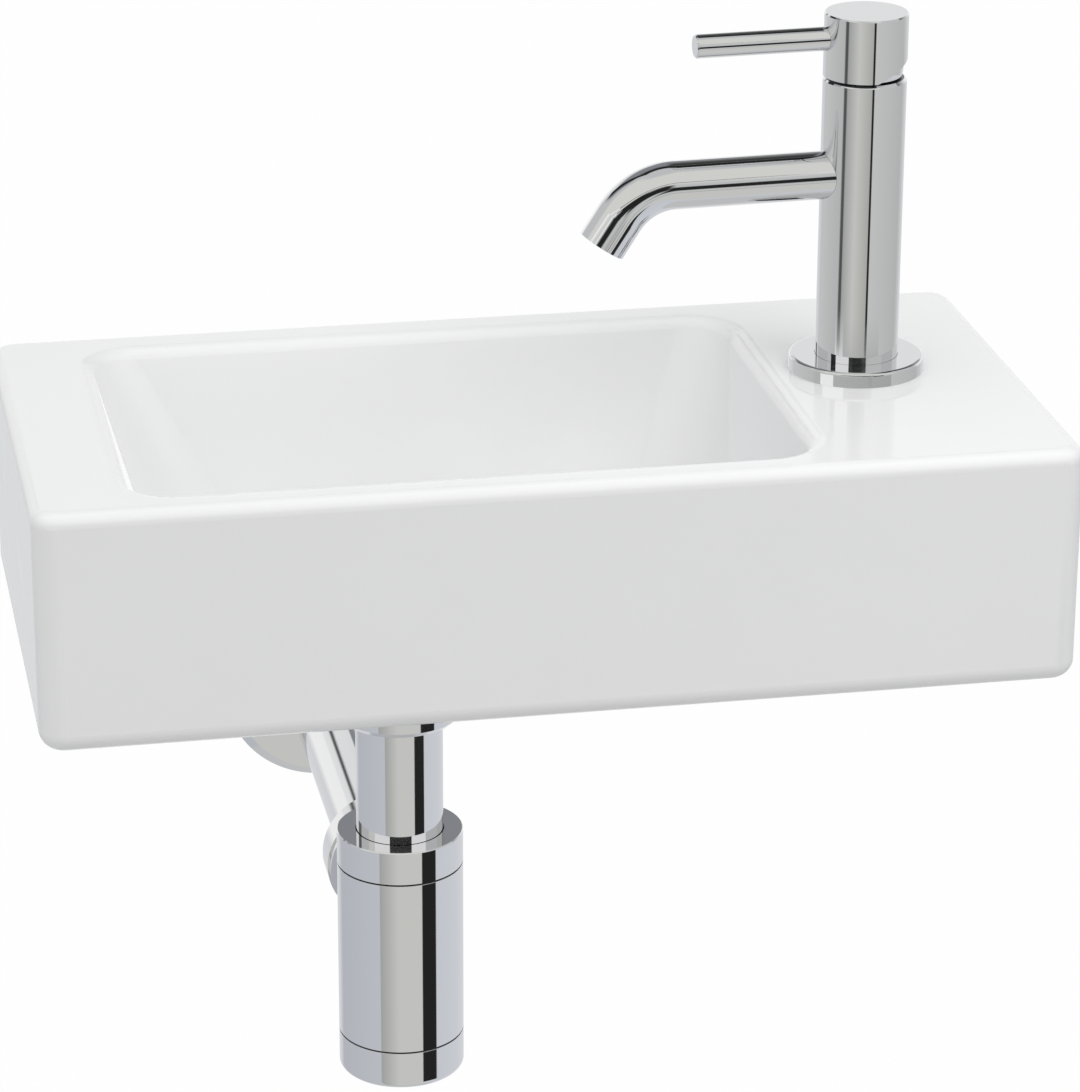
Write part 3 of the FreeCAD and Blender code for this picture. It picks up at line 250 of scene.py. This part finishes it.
def painted_gap_shade_group():
    """Shared effect: painted shade, a thin dark band at a height where two turned pieces meet and the gap
    between them lies in shadow.
    """
    tree = bpy.data.node_groups.new("painted_gap_shade", "ShaderNodeTree")
    tree.interface.new_socket("Seam Height", in_out="INPUT", socket_type="NodeSocketFloat")
    tree.interface.new_socket("Half Width", in_out="INPUT", socket_type="NodeSocketFloat")
    tree.interface.new_socket("Mask", in_out="OUTPUT", socket_type="NodeSocketFloat")
    inside = add_node(tree, "NodeGroupInput")
    outside = add_node(tree, "NodeGroupOutput")
    place = add_node(tree, "ShaderNodeTexCoord")
    axes = add_node(tree, "ShaderNodeSeparateXYZ")
    near = add_node(tree, "ShaderNodeMath", operation="COMPARE")
    tree.links.new(place.outputs["Object"], axes.inputs["Vector"])
    tree.links.new(axes.outputs["Z"], near.inputs[0])
    tree.links.new(inside.outputs["Seam Height"], near.inputs[1])
    tree.links.new(inside.outputs["Half Width"], near.inputs[2])
    tree.links.new(near.outputs["Value"], outside.inputs["Mask"])
    return tree


PAINTED_GAP_SHADE = painted_gap_shade_group()
# Painted shade: near black painted into the chrome's base colour in a thin band at each seam, where the gap
# lies in shadow.
PAINTED_GAP_SHADE_TONE = (0.05, 0.05, 0.055, 1)
SEAM_HALF_WIDTH = 0.32 * MM


def metal_material(name, clean, marked, gloss, dull, marks, seams=()):
    """Polished or turned metal with dried drops, a slow waver, and painted shade at its seams."""
    material, tree, shader = new_material(name, Metallic=1.0)
    surface = uneven(tree, POLISH_SCALE, POLISH_SCALE * POLISH_FINENESS, POLISH_FINE_SHARE)
    drops = add_node(tree, "ShaderNodeGroup", node_tree=DROP_MARKS)
    drops.inputs["Scale"].default_value = DROP_SCALE
    drops.inputs["Amount"].default_value = marks
    colour = mixed(tree, drops.outputs["Mask"], clean, marked)
    # Painted shade at each seam height, mixed into the base colour.
    for height in seams:
        seam = add_node(tree, "ShaderNodeGroup", node_tree=PAINTED_GAP_SHADE)
        seam.inputs["Seam Height"].default_value = height
        seam.inputs["Half Width"].default_value = SEAM_HALF_WIDTH
        colour = mixed(tree, seam.outputs["Mask"], colour, PAINTED_GAP_SHADE_TONE)
    tree.links.new(colour, shader.inputs["Base Color"])
    film = ranged(tree, surface.outputs["Mask"], gloss, (gloss + dull) / 2)
    worn = add_node(tree, "ShaderNodeMath", operation="MAXIMUM")
    tree.links.new(film, worn.inputs[0])
    tree.links.new(ranged(tree, drops.outputs["Mask"], 0.0, dull), worn.inputs[1])
    tree.links.new(worn.outputs["Value"], shader.inputs["Roughness"])
    bumped(tree, shader, surface.outputs["Height"], POLISH_HEIGHT)
    return material


bright_chrome = metal_material("bright_chrome", CHROME, CHROME_MARKED, CHROME_GLOSS, CHROME_DULL,
                               CHROME_MARKS)
dress(bright_chrome, "waste_body", "waste_cover", "base_flange", "spout", "lever", "union_nut",
      "inlet_tube", "outlet_nut", "outlet_pipe", "wall_rosette")
HEAD_SEAM = (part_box("tap_body")[1].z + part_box("tap_head")[0].z) / 2
COLLAR_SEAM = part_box("collar_nut")[0].z
CUP_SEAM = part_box("trap_body")[0].z
# Chrome of the pieces that meet at seams, with painted shade in the gaps between them.
chrome_with_painted_gap_shade = metal_material("chrome_with_painted_gap_shade", CHROME, CHROME_MARKED, CHROME_GLOSS, CHROME_DULL,
                               CHROME_MARKS, (HEAD_SEAM, COLLAR_SEAM, CUP_SEAM))
dress(chrome_with_painted_gap_shade, "tap_body", "tap_head", "dome_cap", "collar_nut", "trap_body", "trap_cup")


# Brass and steel pieces out of sight
# The nuts and the aerator ring are turned brass left bright. The stud, clamp plate, pins and screws
# are zinc-plated steel, duller and a little blue.
BRASS = (0.78, 0.60, 0.31, 1)
BRASS_TARNISHED = (0.55, 0.39, 0.18, 1)
BRASS_GLOSS = 0.18
BRASS_DULL = 0.42
ZINC = (0.60, 0.61, 0.63, 1)
ZINC_MARKED = (0.44, 0.45, 0.46, 1)
ZINC_GLOSS = 0.28
ZINC_DULL = 0.5
HIDDEN_MARKS = 1.0

turned_brass = metal_material("turned_brass", BRASS, BRASS_TARNISHED, BRASS_GLOSS, BRASS_DULL, HIDDEN_MARKS)
zinc_plate = metal_material("zinc_plate", ZINC, ZINC_MARKED, ZINC_GLOSS, ZINC_DULL, HIDDEN_MARKS)
dress(turned_brass, "cartridge_nut", "back_nut", "aerator_housing", "stem")
dress(zinc_plate, "stem_pin", "grub_screw", "fixing_stud", "horseshoe_washer", "fixing_nut")


# Screw threads
# The stud's free end, the waste's tail between its two nuts, and the neck of the trap's cup are
# threaded. Each thread is one low ridge, cut as a helix round the plain stem that carries it.
STUD_PITCH = 1.25 * MM
TAIL_PITCH = 2.31 * MM
CUP_PITCH = 2.3 * MM
STUD_RIDGE = 0.3 * MM
TAIL_RIDGE = 0.3 * MM
CUP_RIDGE = 0.2 * MM
TAIL_RADIUS = 20.9 * MM
CUP_NECK_RADIUS = 20.75 * MM
THREAD_MARGIN = 0.6 * MM
STEPS_IN_A_TURN = 48
RIDGE_SIDES = 4


def screw_thread_tree():
    """Geometry Nodes: a ridge that climbs round an upright stem."""
    tree = bpy.data.node_groups.new("screw_thread", "GeometryNodeTree")
    for name in ("Radius", "Length", "Turns", "Ridge"):
        tree.interface.new_socket(name, in_out="INPUT", socket_type="NodeSocketFloat")
    tree.interface.new_socket("Foot", in_out="INPUT", socket_type="NodeSocketVector")
    tree.interface.new_socket("Metal", in_out="INPUT", socket_type="NodeSocketMaterial")
    tree.interface.new_socket("Geometry", in_out="OUTPUT", socket_type="NodeSocketGeometry")
    inside = add_node(tree, "NodeGroupInput").outputs
    outside = add_node(tree, "NodeGroupOutput")
    helix = add_node(tree, "GeometryNodeCurveSpiral", Resolution=STEPS_IN_A_TURN, Reverse=True)
    upright = add_node(tree, "GeometryNodeSetCurveNormal", mode="Z_UP")
    ridge = add_node(tree, "GeometryNodeCurvePrimitiveCircle", Resolution=RIDGE_SIDES)
    sweep = add_node(tree, "GeometryNodeCurveToMesh")
    sweep.inputs["Fill Caps"].default_value = True
    place = add_node(tree, "GeometryNodeTransform")
    real = add_node(tree, "GeometryNodeRealizeInstances")
    metal = add_node(tree, "GeometryNodeSetMaterial")
    tree.links.new(inside["Turns"], helix.inputs["Rotations"])
    tree.links.new(inside["Radius"], helix.inputs["Start Radius"])
    tree.links.new(inside["Radius"], helix.inputs["End Radius"])
    tree.links.new(inside["Length"], helix.inputs["Height"])
    tree.links.new(inside["Ridge"], ridge.inputs["Radius"])
    tree.links.new(helix.outputs["Curve"], upright.inputs["Curve"])
    tree.links.new(upright.outputs["Curve"], sweep.inputs["Curve"])
    tree.links.new(ridge.outputs["Curve"], sweep.inputs["Profile Curve"])
    tree.links.new(sweep.outputs["Mesh"], place.inputs["Geometry"])
    tree.links.new(inside["Foot"], place.inputs["Translation"])
    tree.links.new(place.outputs["Geometry"], real.inputs["Geometry"])
    tree.links.new(real.outputs["Geometry"], metal.inputs["Geometry"])
    tree.links.new(inside["Metal"], metal.inputs["Material"])
    tree.links.new(metal.outputs["Geometry"], outside.inputs["Geometry"])
    return tree


SCREW_THREAD = screw_thread_tree()


def screw_thread(name, body, metal, foot, top, radius, pitch, ridge):
    """Makes one thread round the upright line through foot, up to a height."""
    low = foot.z + THREAD_MARGIN
    length = top - THREAD_MARGIN - low
    sizes = {"Radius": radius, "Length": length, "Turns": length / pitch, "Ridge": ridge,
             "Foot": (foot.x, foot.y, low), "Metal": metal}
    thread = bpy.data.objects.new(name, bpy.data.meshes.new(name))
    bpy.context.scene.collection.objects.link(thread)
    cutter = thread.modifiers.new("thread", "NODES")
    cutter.node_group = SCREW_THREAD
    for item in SCREW_THREAD.interface.items_tree:
        if item.in_out == "INPUT":
            cutter[item.identifier] = sizes[item.name]
    whole = thread.evaluated_get(bpy.context.evaluated_depsgraph_get())
    mesh = bpy.data.meshes.new_from_object(whole)
    thread.modifiers.clear()
    thread.data = mesh
    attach(thread, body)


def middle_of(name):
    """Foot of the upright middle line of a CAD node, and its half width."""
    low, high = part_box(name)
    return Vector(((low.x + high.x) / 2, (low.y + high.y) / 2, low.z)), (high.x - low.x) / 2


stud_foot, stud_radius = middle_of("fixing_stud")
screw_thread("stud_thread", "basin_and_tap", zinc_plate, stud_foot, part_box("fixing_nut")[0].z,
             stud_radius, STUD_PITCH, STUD_RIDGE)
tail_foot = middle_of("waste_body")[0]
tail_foot.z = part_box("union_nut")[1].z
screw_thread("tail_thread", "basin_and_tap", bright_chrome, tail_foot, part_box("back_nut")[0].z,
             TAIL_RADIUS, TAIL_PITCH, TAIL_RIDGE)
cup_foot = middle_of("trap_cup")[0]
cup_foot.z = CUP_SEAM
screw_thread("cup_thread", "cup", bright_chrome, cup_foot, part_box("trap_cup")[1].z,
             CUP_NECK_RADIUS, CUP_PITCH, CUP_RIDGE)


# Rubber rings and washers
# Moulded black rubber, squeezed between the pieces that it seals. It is matt, with a dusty bloom
# where it has been handled.
RUBBER = (0.022, 0.022, 0.023, 1)
RUBBER_BLOOM = (0.06, 0.06, 0.062, 1)
RUBBER_GLOSS = 0.55
RUBBER_DULL = 0.8
RUBBER_SCALE = 160.0
RUBBER_GRAIN = 0.02 * MM
GRAIN_FINENESS = 9
GRAIN_SHARE = 0.5


def moulded_material(name, colour, shade, gloss, dull, scale, depth):
    """Moulded or pressed material with a slow change of tone and a fine grain."""
    material, tree, shader = new_material(name)
    surface = uneven(tree, scale, scale * GRAIN_FINENESS, GRAIN_SHARE)
    tree.links.new(mixed(tree, surface.outputs["Mask"], colour, shade), shader.inputs["Base Color"])
    tree.links.new(ranged(tree, surface.outputs["Mask"], gloss, dull), shader.inputs["Roughness"])
    bumped(tree, shader, surface.outputs["Height"], depth)
    return material


black_rubber = moulded_material("black_rubber", RUBBER, RUBBER_BLOOM, RUBBER_GLOSS, RUBBER_DULL,
                                RUBBER_SCALE, RUBBER_GRAIN)
dress(black_rubber, "base_gasket", "rubber_washer", "upper_seal", "lower_seal", "union_seal",
      "collar_seal", "cup_seal", "outlet_seal")


# Plastic and ceramic parts of the cartridge
# The shell, base, carrier and turret are moulded from pale acetal. The two discs are lapped alumina,
# dense and almost white, so smooth that water is held between their faces.
ACETAL = (0.80, 0.80, 0.77, 1)
ACETAL_SHADE = (0.72, 0.72, 0.69, 1)
ACETAL_GLOSS = 0.35
ACETAL_DULL = 0.5
ACETAL_SCALE = 90.0
ALUMINA = (0.86, 0.84, 0.79, 1)
ALUMINA_SHADE = (0.80, 0.775, 0.72, 1)
ALUMINA_GLOSS = 0.12
ALUMINA_DULL = 0.22
ALUMINA_SCALE = 60.0
MOULD_GRAIN = 0.006 * MM

acetal = moulded_material("acetal", ACETAL, ACETAL_SHADE, ACETAL_GLOSS, ACETAL_DULL, ACETAL_SCALE,
                          MOULD_GRAIN)
alumina = moulded_material("lapped_alumina", ALUMINA, ALUMINA_SHADE, ALUMINA_GLOSS, ALUMINA_DULL,
                           ALUMINA_SCALE, MOULD_GRAIN)
dress(acetal, "cartridge_base", "cartridge_shell", "disc_carrier", "cartridge_turret", "aerator_insert")
dress(alumina, "fixed_disc", "moving_disc")


# Camera
# A long lens, a little to the left of the basin and above it, as the photograph was taken.
IMAGE_LONG_SIDE = 1092
FOCAL_PIXELS = 4369.5
SENSOR = 36.0
CAMERA_YAW = -10.998
CAMERA_PITCH = 21.375
CAMERA_ROLL = 0.241
CAMERA_PLACE = Vector((-0.27456, -1.54017, 0.56353))

yaw, pitch, roll = (math.radians(angle) for angle in (CAMERA_YAW, CAMERA_PITCH, CAMERA_ROLL))
ahead = Vector((-math.sin(yaw) * math.cos(pitch), math.cos(yaw) * math.cos(pitch), -math.sin(pitch)))
level_right = Vector((math.cos(yaw), math.sin(yaw), 0))
level_up = level_right.cross(ahead)
right = math.cos(roll) * level_right + math.sin(roll) * level_up
up = math.cos(roll) * level_up - math.sin(roll) * level_right
camera_data = bpy.data.cameras.new("camera")
camera_data.sensor_width = SENSOR
camera_data.lens = FOCAL_PIXELS / IMAGE_LONG_SIDE * SENSOR
camera = bpy.data.objects.new("camera", camera_data)
bpy.context.scene.collection.objects.link(camera)
camera.matrix_world = Matrix.Translation(CAMERA_PLACE) @ Matrix((right, up, -ahead)).transposed().to_4x4()
bpy.context.scene.camera = camera
bpy.context.scene.view_settings.view_transform = "Standard"


# Studio
# The basin hangs at its usual height over a plain white floor. Soft light comes mostly from the
# ceiling and the left front, with one large softbox above the right front. Only mirrors see the
# studio's walls, cards and flags.
RIM_HEIGHT = 0.85
FLOOR_SIDE = 14.0
FLOOR_WHITE = (0.62, 0.62, 0.62, 1)
FLOOR_GLOW = 0.985
ROOM_LIGHT = 0.455
CEILING_LIGHT = 1.30
CEILING_SPREAD = 3.0
LEFT_FRONT_FILL = (-0.24, -0.30, 0.0)


def floor_material():
    """White floor that keeps a faint shadow, is seen as white, and is clear from below."""
    material = bpy.data.materials.new("white_floor")
    material.use_nodes = True
    tree = material.node_tree
    tree.nodes.clear()
    output = add_node(tree, "ShaderNodeOutputMaterial")
    paint = add_node(tree, "ShaderNodeBsdfDiffuse", Color=FLOOR_WHITE)
    glow = add_node(tree, "ShaderNodeEmission", Strength=1.0)
    rays = add_node(tree, "ShaderNodeLightPath")
    share = add_node(tree, "ShaderNodeMath", operation="MULTIPLY")
    share.inputs[1].default_value = FLOOR_GLOW
    mix = add_node(tree, "ShaderNodeMixShader")
    side = add_node(tree, "ShaderNodeNewGeometry")
    clear = add_node(tree, "ShaderNodeBsdfTransparent")
    both_sides = add_node(tree, "ShaderNodeMixShader")
    tree.links.new(rays.outputs["Is Camera Ray"], share.inputs[0])
    tree.links.new(share.outputs["Value"], mix.inputs[0])
    tree.links.new(paint.outputs["BSDF"], mix.inputs[1])
    tree.links.new(glow.outputs["Emission"], mix.inputs[2])
    tree.links.new(side.outputs["Backfacing"], both_sides.inputs[0])
    tree.links.new(mix.outputs["Shader"], both_sides.inputs[1])
    tree.links.new(clear.outputs["BSDF"], both_sides.inputs[2])
    tree.links.new(both_sides.outputs["Shader"], output.inputs["Surface"])
    return material


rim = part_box("basin")[1].z
half = FLOOR_SIDE / 2
floor_mesh = bpy.data.meshes.new("floor")
floor_mesh.from_pydata([(x, y, rim - RIM_HEIGHT) for x, y in
                        ((-half, -half), (half, -half), (half, half), (-half, half))], [], [(0, 1, 2, 3)])
floor_mesh.materials.append(floor_material())
floor = bpy.data.objects.new("floor", floor_mesh)
bpy.context.scene.collection.objects.link(floor)
floor.visible_glossy = False

# Cards and flags of the studio, laid over each other in this order. Angles are in degrees: left and
# right of the camera's place, low and high from the level, and the softness of the edges. The two
# tones run across a card from left to right, or upwards from low to high.
ACROSS = 0.0
UPWARDS = 1.0
WALL_GREY = (0.60, 0.615, 0.62, 1)
FLOOR_GREY = (0.50, 0.525, 0.565, 1)
FLOOR_PALE = (0.74, 0.765, 0.805, 1)
WHITE = (1.0, 1.0, 1.0, 1)
PALE = (0.73, 0.74, 0.76, 1)
SWEEP_SHADE = (0.85, 0.86, 0.86, 1)
WALL_LIGHT = (0.64, 0.645, 0.64, 1)
WALL_SHADE = (0.53, 0.54, 0.535, 1)
WARM_WHITE = (0.76, 0.765, 0.73, 1)
WARM = (0.66, 0.665, 0.635, 1)
WARM_DEEP = (0.47, 0.475, 0.44, 1)
WARM_DIM = (0.42, 0.43, 0.42, 1)
DIM_GREY = (0.26, 0.27, 0.29, 1)
CHARCOAL = (0.10, 0.10, 0.10, 1)
BLACK = (0.02, 0.02, 0.02, 1)
STUDIO_CARDS = (
    ("grey floor all round", -180, 180, -62, -21.5, 1, FLOOR_GREY, FLOOR_PALE, ACROSS),
    ("left wall", -130, -55, -21.5, 6, 2, WALL_LIGHT, WALL_SHADE, ACROSS),
    ("right wall", 22, 125, -21.5, 6, 2, WALL_LIGHT, WALL_SHADE, ACROSS),
    ("floor behind", 140, 220, -60, -9, 16, PALE, PALE, ACROSS),
    ("strip of white floor behind", 172, 188, -60, -9, 10, WHITE, WHITE, ACROSS),
    ("backdrop at the level", 118, 242, -11, 12, 8, WHITE, WHITE, ACROSS),
    ("sweep of the backdrop", 118, 242, 12, 40, 3, WHITE, BLACK, UPWARDS),
    ("shade on the sweep", 150, 210, 12.5, 21.5, 1.5, SWEEP_SHADE, SWEEP_SHADE, ACROSS),
    ("left end of the sweep", 186, 222, 12, 29, 4, SWEEP_SHADE, SWEEP_SHADE, ACROSS),
    ("dark edge of the sweep", 203, 214, 16.5, 19.5, 2, CHARCOAL, CHARCOAL, ACROSS),
    ("dark band over the backdrop", 150, 188, 23, 29, 2, DIM_GREY, DIM_GREY, ACROSS),
    ("dark above the backdrop", 118, 242, 40, 58, 3, CHARCOAL, BLACK, UPWARDS),
    ("grey above the left end", 178, 250, 29, 56, 8, DIM_GREY, DIM_GREY, ACROSS),
    ("wall left of the backdrop", 222, 262, -9, 29, 4, WALL_GREY, WALL_GREY, ACROSS),
    ("gap over the backdrop", 90, 238, 58, 72, 3, BLACK, BLACK, ACROSS),
    ("dark post at the left of the gap", 223, 239, 24, 60, 4, BLACK, BLACK, ACROSS),
    ("warm ceiling in front", -88, 70, 19, 72, 8, WARM_WHITE, WARM_WHITE, ACROSS),
    ("dark doorway in front", -78, 24, 18.2, 19.6, 0.4, BLACK, BLACK, ACROSS),
    ("window in the doorway", -62, -24, 18, 19.8, 0.4, WHITE, WHITE, ACROSS),
    ("panes over the doorway", -68, 74, 24.3, 25.8, 0.4, WHITE, WHITE, ACROSS),
    ("dark pane over the doorway", -25, 33, 24.3, 25.8, 0.4, BLACK, BLACK, ACROSS),
    ("left end of the dark shelf", -28, -6, 6, 16, 3, BLACK, BLACK, ACROSS),
    ("middle of the dark shelf", -14, 12, 4, 20, 3, BLACK, BLACK, ACROSS),
    ("right of the dark shelf", 8, 27, -1, 17.5, 3, BLACK, BLACK, ACROSS),
    ("left half of the front wall", -50, -20, -21.5, -3, 1.5, WARM_DIM, WARM, ACROSS),
    ("right half of the front wall", -20, 18, -21.5, -3, 1.5, WARM, WARM_DEEP, ACROSS),
    ("thin flag at the left", -61, -51, -21.5, -4, 4, CHARCOAL, CHARCOAL, ACROSS),
    ("flag at the right", 18, 24, -21.5, -13, 1.5, BLACK, BLACK, ACROSS),
    ("right end of the dark shelf", 26, 44, -10.5, 5, 3, BLACK, BLACK, ACROSS),
    ("skirting of the front wall", -80, 60, -21.5, -18.78, 0.2, WALL_SHADE, WARM_DIM, ACROSS),
    ("bright corner of the skirting", -66, -42, -20.2, -18.78, 0.5, WHITE, WHITE, ACROSS),
    ("left of the warm floor", -36, -2, -62, -21.5, 1.5, WARM_DIM, WARM, ACROSS),
    ("right of the warm floor", -2, 43, -62, -21.5, 1.5, WARM, WARM, ACROSS),
    ("low flag at the right", 42, 70, -32, -21.5, 1.5, BLACK, BLACK, ACROSS))


HALF_TURN = 180.0
EDGE_MASK = 0.5


def calculated(tree, operation, first, second=0.0):
    """Math node on sockets or numbers."""
    node = add_node(tree, "ShaderNodeMath", operation=operation)
    for socket, value in zip(node.inputs, (first, second)):
        if isinstance(value, bpy.types.NodeSocket):
            tree.links.new(value, socket)
        else:
            socket.default_value = value
    return node.outputs["Value"]


def studio_card_group():
    """Shared effect: one card or flag, laid over what lies behind it, half clear at its edge."""
    tree = bpy.data.node_groups.new("studio_card", "ShaderNodeTree")
    for name in ("Turn", "Height", "Middle", "Half Width", "Low", "High", "Soft", "Upright"):
        tree.interface.new_socket(name, in_out="INPUT", socket_type="NodeSocketFloat")
    for name in ("Behind", "First Tone", "Last Tone"):
        tree.interface.new_socket(name, in_out="INPUT", socket_type="NodeSocketColor")
    tree.interface.new_socket("Color", in_out="OUTPUT", socket_type="NodeSocketColor")
    card = add_node(tree, "NodeGroupInput").outputs
    result = add_node(tree, "NodeGroupOutput")
    aside = add_node(tree, "ShaderNodeMath", operation="WRAP")
    tree.links.new(calculated(tree, "SUBTRACT", card["Turn"], card["Middle"]), aside.inputs[0])
    aside.inputs[1].default_value = HALF_TURN
    aside.inputs[2].default_value = -HALF_TURN
    off_middle = aside.outputs["Value"]
    within = calculated(tree, "SUBTRACT", card["Half Width"], calculated(tree, "ABSOLUTE", off_middle))
    above = calculated(tree, "SUBTRACT", card["Height"], card["Low"])
    below = calculated(tree, "SUBTRACT", card["High"], card["Height"])
    inside = calculated(tree, "MINIMUM", within, calculated(tree, "MINIMUM", above, below))
    edge = calculated(tree, "ADD", calculated(tree, "DIVIDE", inside, card["Soft"]), EDGE_MASK)
    mask = add_node(tree, "ShaderNodeClamp")
    tree.links.new(edge, mask.inputs["Value"])
    across = calculated(tree, "DIVIDE", calculated(tree, "ADD", off_middle, card["Half Width"]),
                        calculated(tree, "MULTIPLY", card["Half Width"], 2.0))
    upwards = calculated(tree, "DIVIDE", above, calculated(tree, "ADD", above, below))
    share = add_node(tree, "ShaderNodeMix", data_type="FLOAT")
    tree.links.new(card["Upright"], share.inputs["Factor"])
    tree.links.new(across, share.inputs["A"])
    tree.links.new(upwards, share.inputs["B"])
    tone = mixed(tree, share.outputs["Result"], card["First Tone"], card["Last Tone"])
    tree.links.new(mixed(tree, mask.outputs["Result"], card["Behind"], tone), result.inputs["Color"])
    return tree


def studio_seen_by_mirrors(tree):
    """Colour of the studio in each direction."""
    place = add_node(tree, "ShaderNodeTexCoord")
    axes = add_node(tree, "ShaderNodeSeparateXYZ")
    tree.links.new(place.outputs["Generated"], axes.inputs["Vector"])
    x, y, z = axes.outputs
    front = calculated(tree, "MULTIPLY", y, -1.0)
    bearing = calculated(tree, "DEGREES", calculated(tree, "ARCTAN2", x, front))
    turn = calculated(tree, "SUBTRACT", bearing, CAMERA_YAW)
    height = calculated(tree, "DEGREES", calculated(tree, "ARCSINE", z))
    studio_card = studio_card_group()
    colour = WALL_GREY
    for name, left, right, low, high, soft, first_tone, last_tone, upright in STUDIO_CARDS:
        card = add_node(tree, "ShaderNodeGroup", node_tree=studio_card, label=name)
        sizes = {"Middle": (left + right) / 2, "Half Width": (right - left) / 2, "Low": low, "High": high,
                 "Soft": soft, "First Tone": first_tone, "Last Tone": last_tone, "Upright": upright}
        for socket, value in sizes.items():
            card.inputs[socket].default_value = value
        tree.links.new(turn, card.inputs["Turn"])
        tree.links.new(height, card.inputs["Height"])
        if colour is WALL_GREY:
            card.inputs["Behind"].default_value = WALL_GREY
        else:
            tree.links.new(colour, card.inputs["Behind"])
        colour = card.outputs["Color"]
    return colour


def light_from_above(tree):
    """Strength of the soft light: more from the ceiling's middle, and more from the left front."""
    place = add_node(tree, "ShaderNodeTexCoord")
    axes = add_node(tree, "ShaderNodeSeparateXYZ")
    tree.links.new(place.outputs["Generated"], axes.inputs["Vector"])
    upwards = calculated(tree, "POWER", axes.outputs["Z"], CEILING_SPREAD)
    fill = add_node(tree, "ShaderNodeVectorMath", operation="DOT_PRODUCT")
    tree.links.new(place.outputs["Generated"], fill.inputs[0])
    fill.inputs[1].default_value = LEFT_FRONT_FILL
    return calculated(tree, "ADD", ranged(tree, upwards, ROOM_LIGHT, CEILING_LIGHT), fill.outputs["Value"])


world = bpy.data.worlds.new("studio")
bpy.context.scene.world = world
world.use_nodes = True
tree = world.node_tree
tree.nodes.clear()
output = add_node(tree, "ShaderNodeOutputWorld")
rays = add_node(tree, "ShaderNodeLightPath")
soft_light = add_node(tree, "ShaderNodeBackground")
soft_light.inputs["Color"].default_value = WHITE
tree.links.new(light_from_above(tree), soft_light.inputs["Strength"])
backdrop = add_node(tree, "ShaderNodeBackground", Strength=1.0)
backdrop.inputs["Color"].default_value = WHITE
studio = add_node(tree, "ShaderNodeBackground", Strength=1.0)
tree.links.new(studio_seen_by_mirrors(tree), studio.inputs["Color"])
seen = add_node(tree, "ShaderNodeMixShader")
mirrored = add_node(tree, "ShaderNodeMixShader")
clear = calculated(tree, "MAXIMUM", rays.outputs["Is Camera Ray"], rays.outputs["Is Transmission Ray"])
tree.links.new(clear, seen.inputs[0])
tree.links.new(soft_light.outputs["Background"], seen.inputs[1])
tree.links.new(backdrop.outputs["Background"], seen.inputs[2])
tree.links.new(rays.outputs["Is Glossy Ray"], mirrored.inputs[0])
tree.links.new(seen.outputs["Shader"], mirrored.inputs[1])
tree.links.new(studio.outputs["Background"], mirrored.inputs[2])
tree.links.new(mirrored.outputs["Shader"], output.inputs["Surface"])

SOFTBOX_PLACE = Vector((0.48, -0.62, 0.88))
SOFTBOX_AIM = Vector((0.0, -0.09, 0.02))
SOFTBOX_SIDE = 0.7
SOFTBOX_POWER = 3.1
softbox_lamp = bpy.data.lights.new("softbox", "AREA")
softbox_lamp.size = SOFTBOX_SIDE
softbox_lamp.energy = SOFTBOX_POWER
softbox = bpy.data.objects.new("softbox", softbox_lamp)
bpy.context.scene.collection.objects.link(softbox)
softbox.location = SOFTBOX_PLACE
softbox.rotation_euler = (SOFTBOX_AIM - SOFTBOX_PLACE).to_track_quat("-Z", "Y").to_euler()
softbox.visible_glossy = False
